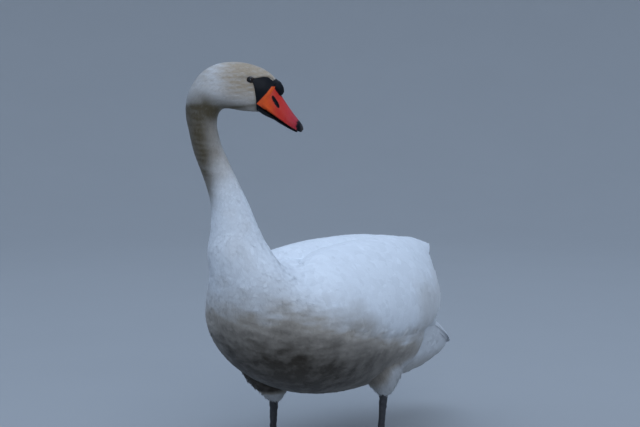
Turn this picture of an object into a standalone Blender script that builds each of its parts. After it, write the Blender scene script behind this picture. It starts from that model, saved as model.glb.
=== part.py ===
"""A mute swan, standing, at life size, as the solids of a still museum model.

The body is laid out in the bird's own terms, forward, left and up from the floor, in metres.
One outline runs from the rump to the base of the bill. It is a row of flat rings, each given by a
point on the bird's upper line, a point on its lower line, and a half width. The trunk, the neck's
three lengths and the head are slices of it. Wings, tail, thighs, legs, bill and feet are built
against it and cut clear of it by a hair's gap.
The finished model faces -Y and its left side is +X.
"""

import math

import bpy
import numpy as np

# ---------------------------------------------------------------- driving dimensions

GAP = 0.0003  # clearance left between neighbouring pieces
CUT = 0.0004  # how much larger a cutter is than the piece it stands for
RING_SIDES = 24  # points round a ring of the trunk, neck and head
RINGS_PER_SPAN = 2  # rings for each step between the given ones

BACK_HEIGHT = 0.392  # top of the trunk under the wings
BELLY_HEIGHT = 0.118  # lowest point of the belly, above the floor
HALF_WIDTH = 0.150  # half the trunk's width, without the wings

NECK_TOP = (0.294, -0.059, 0.652)  # middle of the neck where it starts to bend over
HEAD_TURN = math.radians(115)  # how far the head looks round to the bird's left

WING_SPREAD = 0.168  # half the width across both folded wings
WING_EDGE = 0.003  # thickness of a wing near its edges
TAIL_TIP = (-0.463, 0.0, 0.150)

EYE_RADIUS = 0.0066
LEFT_ANKLE = (-0.094, 0.088, 0.116)
LEFT_FOOT = (-0.082, 0.086, 0.0)
RIGHT_ANKLE = (0.042, -0.088, 0.106)
RIGHT_FOOT = (0.050, -0.086, 0.0)
TOE_OUT = math.radians(9)  # how far each foot turns outwards

WHITE = (0.86, 0.86, 0.84)
BLACK = (0.02, 0.02, 0.022)
ORANGE = (0.82, 0.20, 0.05)
DARK_GREY = (0.05, 0.05, 0.05)


# ---------------------------------------------------------------- places and curves


def place(forward, left, up):
    """A point given in the bird's terms, in the model's own axes."""
    return np.array([left, -forward, up], float)


def in_head(along, up, left=0.0):
    """A point of the head: along the way it looks, up, and to its own left, from the neck's top."""
    look = np.array([math.cos(HEAD_TURN), math.sin(HEAD_TURN)])
    side = np.array([-look[1], look[0]])
    flat = np.array(NECK_TOP[:2]) + along * look + left * side
    return place(flat[0], flat[1], NECK_TOP[2] + up)


HEAD_LEFT = in_head(0.0, 0.0, 1.0) - in_head(0.0, 0.0)


def curve_through(values, count):
    """A smooth curve through the given rows, evenly sampled in the rows' own spacing.

    Each span is a cubic whose slope at a row is half the way between that row's neighbours.
    """
    rows = np.asarray(values, float)
    rows = rows.reshape(len(rows), -1)
    at = np.linspace(0, len(rows) - 1, count)
    span = np.minimum(at.astype(int), len(rows) - 2)
    t = (at - span)[:, None]
    before, after = rows[np.maximum(span - 1, 0)], rows[np.minimum(span + 2, len(rows) - 1)]
    start, end = rows[span], rows[span + 1]
    slope_in, slope_out = (end - before) / 2, (after - start) / 2
    return (
        start * (1 + 2 * t) * (1 - t) ** 2
        + slope_in * t * (1 - t) ** 2
        + end * t * t * (3 - 2 * t)
        + slope_out * t * t * (t - 1)
    )


def unit(vectors):
    return vectors / np.linalg.norm(vectors, axis=-1, keepdims=True)


# ---------------------------------------------------------------- rings and solids


def ring_row(upper, lower, half_width, side, waist=0.5):
    """One ring as a row of numbers: its upper point, lower point, side vector and waist."""
    return [*upper, *lower, *(np.asarray(side) * half_width), waist]


def ring_points(row, sides, grow=0.0, square=2.0):
    """The points round one ring: two half ellipses that meet at the waist."""
    upper, lower, side, waist = row[0:3], row[3:6], row[6:9], row[9]
    middle = lower + (upper - lower) * waist
    turn = np.linspace(0, 2 * np.pi, sides, endpoint=False)
    high = np.sign(np.cos(turn)) * np.abs(np.cos(turn)) ** (2 / square)
    wide = np.sign(np.sin(turn)) * np.abs(np.sin(turn)) ** (2 / square)
    up, down = upper - middle, lower - middle
    up, down = up + grow * unit(up), down + grow * unit(down)
    side = side + grow * unit(side)
    rise = np.where((high > 0)[:, None], high[:, None] * up, -high[:, None] * down)
    return middle + rise + wide[:, None] * side


def ring_normal(row):
    """Which way a ring's plane faces, towards the later rings."""
    return unit(np.cross(row[6:9], row[0:3] - row[3:6]))


def tube_of(rings):
    """Points and faces of a closed tube through the rings, with a fan over each end."""
    rings = np.asarray(rings)
    count, sides = rings.shape[:2]
    points = [*rings.reshape(-1, 3), rings[0].mean(axis=0), rings[-1].mean(axis=0)]
    faces = []
    for i in range(count - 1):
        for j in range(sides):
            a, b = i * sides + j, i * sides + (j + 1) % sides
            faces += [(a, b, b + sides), (a, b + sides, a + sides)]
    first, last, end = len(points) - 2, len(points) - 1, (count - 1) * sides
    for j in range(sides):
        faces.append((first, (j + 1) % sides, j))
        faces.append((last, end + j, end + (j + 1) % sides))
    return np.array(points), faces


def facing_out(points, faces):
    """The same faces, turned round if they enclose a negative volume."""
    corners = points[np.array(faces)]
    if np.linalg.det(corners).sum() < 0:
        return [face[::-1] for face in faces]
    return faces


def material(name, colour, roughness):
    found = bpy.data.materials.get(name)
    if found is None:
        found = bpy.data.materials.new(name)
        found.use_nodes = True
        shader = found.node_tree.nodes["Principled BSDF"]
        shader.inputs["Base Color"].default_value = (*colour, 1.0)
        shader.inputs["Roughness"].default_value = roughness
    return found


def solid(name, points, faces, look):
    """A closed mesh object, shaded smooth, with one material."""
    mesh = bpy.data.meshes.new(name)
    mesh.from_pydata(np.asarray(points).tolist(), [], facing_out(np.asarray(points), faces))
    mesh.materials.append(look)
    mesh.shade_smooth()
    obj = bpy.data.objects.new(name, mesh)
    bpy.context.scene.collection.objects.link(obj)
    return obj


def cutter(name, points, faces):
    """A helper that only cuts: it is hidden from renders, and the build leaves it out."""
    obj = solid(name, points, faces, material("cutter", (1, 0, 1), 0.5))
    obj.hide_render = True
    obj.display_type = "WIRE"
    return obj


def cut_by(obj, *cutters, solver="EXACT"):
    """Leaves the cutters' space clear of an object."""
    for other in cutters:
        modifier = obj.modifiers.new(f"clear_of_{other.name}", "BOOLEAN")
        modifier.operation = "DIFFERENCE"
        modifier.solver = solver
        modifier.object = other
    return obj


# ---------------------------------------------------------------- trunk, neck and head


def trunk_rows():
    """Rings of the trunk, from the rump to the foot of the neck, upright at first and then fanned."""
    left = place(0, 1, 0)
    back, belly, wide = BACK_HEIGHT, BELLY_HEIGHT, HALF_WIDTH
    keys = (
        # upper line            lower line               half width
        ((-0.276, back - 0.107), (-0.272, belly + 0.101), wide * 0.05),
        ((-0.268, back - 0.077), (-0.266, belly + 0.050), wide * 0.34),
        ((-0.242, back - 0.050), (-0.246, belly + 0.020), wide * 0.60),
        ((-0.172, back - 0.020), (-0.180, belly + 0.003), wide * 0.86),
        ((-0.080, back - 0.003), (-0.085, belly - 0.001), wide * 0.98),
        ((0.010, back + 0.003), (0.012, belly + 0.003), wide),
        ((0.080, back + 0.004), (0.108, belly + 0.022), wide * 0.99),
        ((0.130, back + 0.004), (0.192, belly + 0.061), wide * 0.93),
        ((0.165, back + 0.008), (0.254, belly + 0.119), wide * 0.79),
        ((0.188, back + 0.017), (0.284, belly + 0.184), wide * 0.62),
        ((0.201, back + 0.032), (0.300, belly + 0.252), wide * 0.47),
    )
    return [
        ring_row(place(up[0], 0, up[1]), place(low[0], 0, low[1]), half, left, 0.47)
        for up, low, half in keys
    ]


def neck_rows():
    """Rings of the neck, round ones whose upper side turns from the bird's back to the nape."""
    keys = (
        # forward, left, up, radius, how far the neck has twisted towards the head's way
        (0.256, -0.013, 0.438, 0.0545, 0.03),
        (0.2605, -0.016, 0.472, 0.0440, 0.09),
        (0.266, -0.021, 0.513, 0.0345, 0.22),
        (0.2745, -0.030, 0.551, 0.0290, 0.44),
        (0.2830, -0.041, 0.586, 0.0268, 0.68),
        (0.2905, -0.052, 0.620, 0.0260, 0.90),
    )
    centres = np.array([place(*key[:3]) for key in keys])
    runs = unit(np.gradient(centres, axis=0))
    rows = []
    for centre, run, (_, _, _, radius, twist) in zip(centres, runs, keys):
        turn = HEAD_TURN * twist
        nape = place(-math.cos(turn), -math.sin(turn), 0)
        nape = unit(nape - run * (nape @ run))
        side = np.cross(nape, run)
        rows.append(ring_row(centre + radius * nape, centre - radius * nape, radius, side))
    return rows


def head_rows():
    """Rings of the head in the plane it looks in, fanned round the throat, up to the bill."""
    keys = (
        # nape or crown        throat or chin       half width
        ((-0.0262, 0.0000), (0.0264, 0.0010), 0.0262),
        ((-0.0308, 0.0230), (0.0252, 0.0130), 0.0270),
        ((-0.0315, 0.0470), (0.0270, 0.0262), 0.0278),
        ((-0.0255, 0.0710), (0.0315, 0.0350), 0.0284),
        ((-0.0120, 0.0945), (0.0380, 0.0398), 0.0288),
        ((0.0065, 0.1120), (0.0480, 0.0405), 0.0292),
        ((0.0300, 0.1218), (0.0590, 0.0390), 0.0296),
        ((0.0560, 0.1250), (0.0710, 0.0370), 0.0296),
        ((0.0820, 0.1225), (0.0835, 0.0358), 0.0286),
        ((0.1060, 0.1155), (0.0945, 0.0350), 0.0262),
        ((0.1240, 0.1055), (0.1030, 0.0345), 0.0228),
        ((0.1370, 0.0930), (0.1095, 0.0330), 0.0186),
    )
    return [ring_row(in_head(*up), in_head(*low), half, HEAD_LEFT) for up, low, half in keys]


def body_rows(per_span=RINGS_PER_SPAN):
    """Every ring of the body, filled in smoothly between the given ones."""
    rows = trunk_rows() + neck_rows() + head_rows()
    return curve_through(rows, (len(rows) - 1) * per_span + 1)


def slice_of(rows, first, last, grow=0.0):
    """The rings from first to last, whose open ends stand back by half the gap."""
    part = rows[first : last + 1].copy()
    rings = np.array([ring_points(row, RING_SIDES, grow) for row in part])
    if first > 0:
        rings[0] += ring_normal(part[0]) * GAP / 2
    if last < len(rows) - 1:
        rings[-1] -= ring_normal(part[-1]) * GAP / 2
    return tube_of(rings)


def make_body(rows, per_span=RINGS_PER_SPAN):
    """The trunk, the three lengths of the neck, and the head with sockets for the eyes."""
    white = material("feathers", WHITE, 0.75)
    trunk_end = (len(trunk_rows()) - 1) * per_span
    neck_mid = trunk_end + 2 * per_span
    neck_high = trunk_end + 4 * per_span
    head_start = trunk_end + len(neck_rows()) * per_span + 3 * per_span
    ends = (0, trunk_end, neck_mid, neck_high, head_start, len(rows) - 1)
    names = ("trunk", "neck_lower", "neck_middle", "neck_upper", "head")
    made = {}
    for name, first, last in zip(names, ends, ends[1:]):
        made[name] = solid(name, *slice_of(rows, first, last), white)
    return made


# ---------------------------------------------------------------- eyes


def ball(centre, radii, axes, around, rows):
    """Points and faces of an ellipsoid with its own axes, as a tube of rings that closes."""
    turns = np.linspace(0, 2 * np.pi, around, endpoint=False)
    tilt = np.linspace(0, np.pi, rows + 1)[1:-1]
    rings = [
        centre
        + radii[2] * math.cos(a) * axes[2]
        + math.sin(a)
        * (
            radii[0] * np.cos(turns)[:, None] * axes[0]
            + radii[1] * np.sin(turns)[:, None] * axes[1]
        )
        for a in tilt
    ]
    points, faces = tube_of(rings)
    points[-2] = centre + radii[2] * axes[2]
    points[-1] = centre - radii[2] * axes[2]
    return points, faces


def eye_centre(side):
    """The middle of an eyeball: side is 1 on the head's left and -1 on its right."""
    return in_head(0.0916, 0.0930, side * 0.0222)


def make_eyes(head):
    glossy = material("eye", BLACK, 0.1)
    axes = np.eye(3)
    for name, side in (("left", 1), ("right", -1)):
        centre = eye_centre(side)
        radii = np.full(3, EYE_RADIUS)
        solid(f"eye_{name}", *ball(centre, radii, axes, 14, 8), glossy)
        socket = cutter(f"socket_{name}", *ball(centre, radii + 0.0006, axes, 14, 8))
        cut_by(head, socket)


# ---------------------------------------------------------------- bill


def bill_rows(upper):
    """Rings of the upper or the lower bill, in the head's plane, from its base to its tip."""
    upper_keys = (
        # culmen              cutting edge         half width
        ((0.1380, 0.0880), (0.1065, 0.0450), 0.0180),
        ((0.1420, 0.0760), (0.1150, 0.0395), 0.0178),
        ((0.1462, 0.0640), (0.1245, 0.0335), 0.0174),
        ((0.1540, 0.0515), (0.1350, 0.0262), 0.0172),
        ((0.1625, 0.0392), (0.1460, 0.0190), 0.0176),
        ((0.1708, 0.0280), (0.1570, 0.0122), 0.0180),
        ((0.1785, 0.0195), (0.1670, 0.0060), 0.0168),
        ((0.1845, 0.0120), (0.1765, 0.0010), 0.0125),
        ((0.1862, 0.0050), (0.1820, -0.0012), 0.0050),
    )
    lower_keys = (
        ((0.1062, 0.0440), (0.1060, 0.0350), 0.0166),
        ((0.1146, 0.0388), (0.1145, 0.0290), 0.0164),
        ((0.1242, 0.0328), (0.1240, 0.0246), 0.0160),
        ((0.1346, 0.0255), (0.1340, 0.0202), 0.0157),
        ((0.1456, 0.0183), (0.1452, 0.0134), 0.0158),
        ((0.1566, 0.0115), (0.1560, 0.0075), 0.0158),
        ((0.1664, 0.0053), (0.1660, 0.0022), 0.0138),
        ((0.1745, 0.0006), (0.1740, -0.0016), 0.0080),
    )
    keys = upper_keys if upper else lower_keys
    waist = 0.22 if upper else 0.78
    rows = [
        ring_row(in_head(*up), in_head(*low), half, HEAD_LEFT, waist)
        for up, low, half in keys
    ]
    return curve_through(rows, (len(rows) - 1) * 2 + 1)


def bill_solid(upper, grow=0.0):
    rows = bill_rows(upper)
    rings = np.array([ring_points(row, 14, grow, 2.3) for row in rows])
    return tube_of(rings)


def knob_shape(grow=0.0):
    """The rounded knob on the bill's base, leaning forward over the culmen."""
    length = unit(in_head(0.1460, 0.0660) - in_head(0.1330, 0.0920))
    rise = unit(np.cross(length, HEAD_LEFT))
    if rise[2] < 0:
        rise = -rise
    centre = in_head(0.1392, 0.0785)
    radii = np.array([0.0112, 0.0108, 0.0165]) + grow
    return ball(centre, radii, (rise, HEAD_LEFT, length), 14, 8)


def make_bill(rows):
    horn = material("bill", ORANGE, 0.4)
    dark = material("bare_skin", BLACK, 0.45)
    first = len(rows) - 4
    head_cutter = cutter("head_clearance", *slice_of(rows, first, len(rows) - 1, CUT))
    upper = solid("bill_upper", *bill_solid(True), horn)
    lower = solid("bill_lower", *bill_solid(False), dark)
    knob = solid("bill_knob", *knob_shape(), dark)
    upper_cutter = cutter("bill_clearance", *bill_solid(True, CUT))
    cut_by(upper, head_cutter)
    cut_by(lower, head_cutter)
    cut_by(knob, head_cutter, upper_cutter, solver="MANIFOLD")


# ---------------------------------------------------------------- wings and tail


def wing_rows(side):
    """Rows of a folded wing: upright slices from the shoulder to the tips of its feathers.

    Each row holds an upper point, a lower point, the outward bulge and the inward one, as vectors.
    """
    reach, top = WING_SPREAD, BACK_HEIGHT + 0.019
    keys = (
        # forward, upper edge (left, up),       lower edge (left, up),        bulge out and in
        (0.196, (reach * 0.52, top - 0.062), (reach * 0.56, top - 0.080), 0.003, -0.003),
        (0.176, (reach * 0.42, top - 0.038), (reach * 0.68, top - 0.108), 0.020, -0.010),
        (0.130, (reach * 0.20, top - 0.020), (reach * 0.80, top - 0.140), 0.050, 0.010),
        (0.060, (reach * 0.06, top - 0.008), (reach * 0.83, top - 0.166), 0.068, 0.020),
        (-0.020, (reach * 0.03, top - 0.002), (reach * 0.83, top - 0.180), 0.075, 0.026),
        (-0.100, (reach * 0.03, top), (reach * 0.80, top - 0.186), 0.074, 0.030),
        (-0.180, (reach * 0.03, top), (reach * 0.75, top - 0.182), 0.066, 0.030),
        (-0.245, (reach * 0.05, top - 0.004), (reach * 0.65, top - 0.172), 0.050, 0.024),
        (-0.298, (reach * 0.08, top - 0.008), (reach * 0.54, top - 0.156), 0.031, 0.015),
        (-0.332, (reach * 0.10, top - 0.011), (reach * 0.42, top - 0.122), 0.015, 0.006),
        (-0.362, (reach * 0.14, top - 0.012), (reach * 0.24, top - 0.048), 0.004, 0.000),
    )
    rows = []
    for forward, upper, lower, bulge, hollow in keys:
        high, low = place(forward, side * upper[0], upper[1]), place(forward, side * lower[0], lower[1])
        out = unit(np.cross(high - low, place(1, 0, 0))) * side
        rows.append([*high, *low, *(out * bulge), *(out * hollow)])
    return curve_through(rows, (len(rows) - 1) * 2 + 1)


def wing_ring(row, sides, grow=0.0):
    """A crescent: a half ellipse outside, and a flatter one back along the inside."""
    high, low, out, hollow = row.reshape(4, 3)
    face, rise = unit(out), unit(high - low)
    middle, half = (high + low) / 2, (high - low) / 2
    turn = np.linspace(0, np.pi, sides // 2 + 1)[:, None]
    outside = middle + np.cos(turn) * (half + grow * rise) + np.sin(turn) * (out + grow * face)
    turn = turn[-2:0:-1]
    inside = middle + np.cos(turn) * (half * 0.985 + grow * rise)
    inside += (np.sin(turn) * (hollow @ face) - WING_EDGE - grow) * face
    return np.concatenate([outside, inside])


def wing_solid(side, grow=0.0):
    return tube_of([wing_ring(row, 20, grow) for row in wing_rows(side)])


def primaries_solid(side, grow=0.0):
    """The bundle of long flight feathers that shows past the folded wing, as a pointed blade."""
    keys = (
        # forward, left, up, half height, half thickness
        (-0.270, 0.068, 0.274, 0.0220, 0.0060),
        (-0.320, 0.050, 0.274, 0.0180, 0.0050),
        (-0.366, 0.030, 0.266, 0.0120, 0.0036),
        (-0.400, 0.016, 0.258, 0.0040, 0.0016),
    )
    rows = []
    for forward, left, up, half, thick in keys:
        high = place(forward, side * left, up + half)
        low = place(forward, side * (left + 0.5 * half), up - half)
        rows.append(ring_row(high, low, thick, place(0, side, 0)))
    rings = [ring_points(row, 10, grow) for row in curve_through(rows, 7)]
    return tube_of(rings)


def tail_solid(grow=0.0):
    """The tail with its coverts, a flattened wedge that droops to a blunt point."""
    keys = (
        # share of the way to the tip, half width, thickness above and below the tail's line
        (0.00, 0.066, 0.040, 0.118),
        (0.18, 0.077, 0.034, 0.124),
        (0.38, 0.079, 0.024, 0.112),
        (0.58, 0.072, 0.016, 0.080),
        (0.78, 0.053, 0.009, 0.042),
        (0.94, 0.026, 0.005, 0.014),
        (1.00, 0.007, 0.0016, 0.002),
    )
    base, tip = place(-0.215, 0, 0.262), place(*TAIL_TIP)
    up = unit(np.cross(tip - base, place(0, -1, 0)))
    left = place(0, 1, 0)
    rows = []
    for share, half, above, below in keys:
        centre = base + (tip - base) * share
        row = ring_row(centre + up * above, centre - up * below, half, left)
        row[9] = below / (above + below)
        rows.append(row)
    rings = [ring_points(row, 16, grow) for row in curve_through(rows, 11)]
    return tube_of(rings)


def make_wings_and_tail(core):
    """Folded wings, their long flight feathers, and the tail, each clear of those before it."""
    white = material("feathers", WHITE, 0.75)
    wing_cutters = {}
    for name, side in (("left", 1), ("right", -1)):
        cut_by(solid(f"wing_{name}", *wing_solid(side), white), core)
        wing_cutters[name] = cutter(f"wing_clearance_{name}", *wing_solid(side, CUT))
    tail = solid("tail", *tail_solid(), white)
    cut_by(tail, core, *wing_cutters.values())
    tail_cutter = cutter("tail_clearance", *tail_solid(CUT))
    for name, side in (("left", 1), ("right", -1)):
        blade = solid(f"primaries_{name}", *primaries_solid(side), white)
        cut_by(blade, core, wing_cutters[name], tail_cutter)
    return [*wing_cutters.values(), tail_cutter]


# ---------------------------------------------------------------- legs and feet


def thigh_solid(ankle, side, grow=0.0):
    """The feathered thigh, a cone that hangs from the flank down to the ankle."""
    forward, left, up = ankle
    keys = (
        # above the ankle, forward of it, half length, half width
        (0.110, 0.030, 0.078, 0.036),
        (0.070, 0.022, 0.072, 0.038),
        (0.036, 0.010, 0.054, 0.034),
        (0.014, 0.003, 0.032, 0.025),
        (-0.002, 0.000, 0.017, 0.015),
        (-0.008, -0.001, 0.0105, 0.0095),
    )
    rows = []
    for above, ahead, length, width in keys:
        front = place(forward + ahead + length, left, up + above)
        rear = place(forward + ahead - length, left, up + above)
        rows.append(ring_row(front, rear, width, place(0, side, 0)))
    rings = [ring_points(row, 16, grow) for row in curve_through(rows, 11)]
    return tube_of(rings)


def leg_solid(ankle, foot):
    """The bare leg: the end of the shin, the knobbly ankle, the shank, and the joint of the toes."""
    ankle, foot = np.array(ankle), np.array(foot)
    shin = ankle + np.array([0.010, 0.002 * np.sign(ankle[1]), 0.030])
    keys = (
        # place, half length, half width
        (shin, 0.0090, 0.0075),
        (ankle + (shin - ankle) * 0.35, 0.0105, 0.0085),
        (ankle, 0.0130, 0.0098),
        (ankle + (foot - ankle) * 0.16, 0.0100, 0.0076),
        (ankle + (foot - ankle) * 0.45, 0.0082, 0.0062),
        (ankle + (foot - ankle) * 0.72, 0.0085, 0.0066),
        (np.array([*foot[:2], 0.0150]), 0.0110, 0.0090),
    )
    rows = [
        ring_row(place(*(at + [length, 0, 0])), place(*(at - [length, 0, 0])), width, place(0, 1, 0))
        for at, length, width in keys
    ]
    rings = [ring_points(row, 12) for row in curve_through(rows, 13)]
    return tube_of(rings)


# A foot is laid out flat from the joint of its toes: along the middle toe, and towards its outer side.
TOES = {
    # name: (turn outwards, length, half width)
    "inner": (math.radians(-27), 0.098, 0.0062),
    "middle": (0.0, 0.128, 0.0066),
    "outer": (math.radians(25), 0.124, 0.0062),
}
HEEL_RADIUS = 0.0125
WEB_THICKNESS = 0.0026


def foot_outline(turn):
    """How far the foot reaches from the joint of its toes, at each turn from the middle toe."""
    reach = np.full(turn.shape, HEEL_RADIUS)
    for angle, length, half in TOES.values():
        off = turn - angle
        sideways = half / np.maximum(np.abs(np.sin(off)), 1e-6)
        reach = np.where(np.cos(off) > 0, np.maximum(reach, np.minimum(length, sideways)), reach)
    toes = [TOES[name] for name in ("inner", "middle", "outer")]
    for (a, long_a, _), (b, long_b, _) in zip(toes, toes[1:]):
        share = (turn - a) / (b - a)
        web = (long_a + (long_b - long_a) * share) * 0.95 - 0.014 * np.sin(np.pi * share)
        reach = np.where((share > 0) & (share < 1), np.maximum(reach, web), reach)
    return reach


def foot_height(along, across):
    """How thick the foot is at a place on it: the web, with a ridge along each toe."""
    height = np.full(along.shape, WEB_THICKNESS)
    for angle, length, half in TOES.values():
        run = along * math.cos(angle) + across * math.sin(angle)
        off = across * math.cos(angle) - along * math.sin(angle)
        ridge = 0.0125 - 0.0075 * np.clip(run / length, 0, 1)
        height = np.maximum(height, ridge * np.sqrt(np.clip(1 - (off / (half * 1.35)) ** 2, 0, 1)))
    return height


def foot_turns():
    """Turns round the foot, closer together across each toe."""
    toes = [angle for angle, _, _ in TOES.values()]
    fine = np.concatenate([np.radians([-8, -3, 0, 3, 8]) + angle for angle in toes])
    webs = np.array([(toes[0] + toes[1]) / 2, (toes[1] + toes[2]) / 2])
    outside = np.radians([-150, -110, -75, -50, -40, 38, 50, 75, 110, 150, 180])
    return np.unique(np.round(np.concatenate([fine, webs, outside]), 6))


def foot_solid(foot, side):
    """The webbed foot on the floor: its flat sole, and rings that climb to the joint of the toes."""
    turn = foot_turns()
    reach = foot_outline(turn)
    rings = []
    for share, lift in ((1.0, 0.0), (1.0, 0.0016), (0.93, None), (0.70, None), (0.42, None), (0.16, None)):
        along, across = reach * share * np.cos(turn), reach * share * np.sin(turn)
        up = np.full(turn.shape, lift) if lift is not None else foot_height(along, across)
        rings.append([on_foot(foot, side, a, c, u) for a, c, u in zip(along, across, up)])
    points, faces = tube_of(np.array(rings))
    points[-1][2] = 0.0138
    return points, faces


def on_foot(foot, side, along, across, up):
    """A place on a foot in the model's axes."""
    turn = TOE_OUT
    forward = along * math.cos(turn) - across * math.sin(turn)
    outward = along * math.sin(turn) + across * math.cos(turn)
    return place(foot[0] + forward, foot[1] + side * outward, foot[2] + up)


def spike(points, radii, side_axis, up_axis, around=8):
    """A tapering horn or toe through the given points."""
    rings = [
        centre
        + radius * (np.cos(t)[:, None] * up_axis + np.sin(t)[:, None] * side_axis)
        for centre, radius, t in (
            (c, r, np.linspace(0, 2 * np.pi, around, endpoint=False)) for c, r in zip(points, radii)
        )
    ]
    return tube_of(rings)


def toe_axes(foot, side, angle):
    """The directions along and across a toe."""
    start = on_foot(foot, side, 0, 0, 0)
    along = on_foot(foot, side, math.cos(angle), math.sin(angle), 0) - start
    across = on_foot(foot, side, -math.sin(angle), math.cos(angle), 0) - start
    return start, along, across


def make_foot(name, foot, side):
    skin = material("leg_skin", DARK_GREY, 0.6)
    horn = material("claw", BLACK, 0.35)
    solid(f"foot_{name}", *foot_solid(foot, side), skin)
    up = np.array([0.0, 0.0, 1.0])
    for toe, (angle, length, _) in TOES.items():
        start, along, across = toe_axes(foot, side, angle)
        root = start + along * (length + GAP + 0.0004)
        points = [root + up * 0.0026, root + along * 0.006 + up * 0.0030, root + along * 0.012 + up * 0.0010]
        solid(f"claw_{toe}_{name}", *spike(points, (0.0022, 0.0018, 0.0004), across, up), horn)
    start, along, across = toe_axes(foot, side, math.radians(158))
    root = start + along * (HEEL_RADIUS + GAP + 0.0006)
    points = [root + up * 0.0080, root + along * 0.010 + up * 0.0062, root + along * 0.018 + up * 0.0042]
    solid(f"hind_toe_{name}", *spike(points, (0.0044, 0.0042, 0.0030), across, up), skin)
    tip = points[-1] + along * 0.0006
    points = [tip, tip + along * 0.004 - up * 0.0008, tip + along * 0.008 - up * 0.0030]
    solid(f"claw_hind_{name}", *spike(points, (0.0018, 0.0015, 0.0004), across, up), horn)


def make_legs(core, others):
    white = material("feathers", WHITE, 0.75)
    skin = material("leg_skin", DARK_GREY, 0.6)
    for name, side, ankle, foot in (
        ("left", 1, LEFT_ANKLE, LEFT_FOOT),
        ("right", -1, RIGHT_ANKLE, RIGHT_FOOT),
    ):
        thigh = solid(f"thigh_{name}", *thigh_solid(ankle, side), white)
        cut_by(thigh, core, *others)
        thigh_cutter = cutter(f"thigh_clearance_{name}", *thigh_solid(ankle, side, CUT))
        leg = solid(f"leg_{name}", *leg_solid(ankle, foot), skin)
        cut_by(leg, thigh_cutter)
        make_foot(name, foot, side)


# ---------------------------------------------------------------- the whole bird


def stand_on_origin():
    """Moves the finished bird so that the origin is the middle of its box, on the floor."""
    bpy.context.view_layer.update()
    graph = bpy.context.evaluated_depsgraph_get()
    corners = []
    for obj in bpy.context.scene.objects:
        if obj.type == "MESH" and not obj.hide_render:
            mesh = obj.evaluated_get(graph).to_mesh()
            points = np.empty(len(mesh.vertices) * 3, np.float32)
            mesh.vertices.foreach_get("co", points)
            points = points.reshape(-1, 3)
            corners += [points.min(axis=0), points.max(axis=0)]
            obj.evaluated_get(graph).to_mesh_clear()
    low, high = np.min(corners, axis=0), np.max(corners, axis=0)
    swan = bpy.data.objects.new("swan", None)
    bpy.context.scene.collection.objects.link(swan)
    for obj in bpy.context.scene.objects:
        if obj is not swan:
            obj.parent = swan
    swan.location = (-(low[0] + high[0]) / 2, -(low[1] + high[1]) / 2, -low[2])


def main():
    for obj in list(bpy.data.objects):
        bpy.data.objects.remove(obj)
    rows = body_rows()
    made = make_body(rows)
    make_eyes(made["head"])
    make_bill(rows)
    core = cutter("core_clearance", *slice_of(rows, 0, len(rows) // 2 + 2, CUT))
    others = make_wings_and_tail(core)
    make_legs(core, others)
    stand_on_origin()


main()
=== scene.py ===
"""The looks of a standing mute swan: skin, plumage, bill, eyes, legs and a plain studio floor.

It is laid out as an add-on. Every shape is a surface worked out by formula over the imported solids'
own outline: rings along the body, the wings, the tail and the thighs. One skin lies inside that
outline, and feathers rise from the skin to the outline as thin vanes that follow it.
"""

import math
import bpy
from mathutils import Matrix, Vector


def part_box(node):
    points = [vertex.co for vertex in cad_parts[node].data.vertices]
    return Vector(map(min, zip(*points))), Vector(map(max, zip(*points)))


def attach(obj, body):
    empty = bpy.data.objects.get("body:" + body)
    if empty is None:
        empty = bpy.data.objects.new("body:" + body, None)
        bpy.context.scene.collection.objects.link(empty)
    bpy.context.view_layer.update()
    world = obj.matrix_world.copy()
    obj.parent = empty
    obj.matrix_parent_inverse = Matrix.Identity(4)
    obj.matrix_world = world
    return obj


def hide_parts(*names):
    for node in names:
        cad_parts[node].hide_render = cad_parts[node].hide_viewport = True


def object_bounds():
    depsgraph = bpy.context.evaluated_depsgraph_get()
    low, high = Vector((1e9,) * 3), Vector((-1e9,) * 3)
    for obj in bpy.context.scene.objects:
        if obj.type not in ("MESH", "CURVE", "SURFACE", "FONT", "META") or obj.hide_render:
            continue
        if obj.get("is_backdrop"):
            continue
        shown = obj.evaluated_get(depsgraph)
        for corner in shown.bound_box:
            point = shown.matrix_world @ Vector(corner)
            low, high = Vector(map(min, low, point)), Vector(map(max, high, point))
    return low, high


bl_info = {
    "name": "Mute swan model",
    "version": (1, 0, 0),
    "blender": (4, 5, 0),
    "location": "3D View > Sidebar > Swan",
    "description": "Builds the skin, plumage, bill, eyes, legs and studio of a standing mute swan",
    "category": "Object",
}

import bpy
import numpy as np
from mathutils import Vector

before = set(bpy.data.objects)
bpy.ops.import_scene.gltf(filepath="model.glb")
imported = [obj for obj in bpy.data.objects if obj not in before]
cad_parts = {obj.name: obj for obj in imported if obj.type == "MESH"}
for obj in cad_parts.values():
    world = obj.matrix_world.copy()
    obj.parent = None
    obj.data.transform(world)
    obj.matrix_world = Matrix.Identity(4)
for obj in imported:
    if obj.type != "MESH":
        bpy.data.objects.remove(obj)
CAD_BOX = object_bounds()

# ---------------------------------------------------------------- the bird's outline, as the solids have it

BACK_HEIGHT = 0.392
BELLY_HEIGHT = 0.118
HALF_WIDTH = 0.150
NECK_TOP = np.array([0.294, -0.059, 0.652])
HEAD_TURN = math.radians(115)
WING_SPREAD = 0.168
TAIL_BASE = (-0.215, 0.0, 0.262)
TAIL_TIP = (-0.463, 0.0, 0.150)
EYE_IN_HEAD = (0.0916, 0.0930, 0.0222)
EYE_RADIUS = 0.0066
ANKLES = {"left": (-0.094, 0.088, 0.116), "right": (0.042, -0.088, 0.106)}
FEET = {"left": (-0.082, 0.086, 0.0), "right": (0.050, -0.086, 0.0)}
SIDES = {"left": 1, "right": -1}
TOE_OUT = math.radians(9)
WHOLE_TURN = 2 * math.pi


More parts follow.
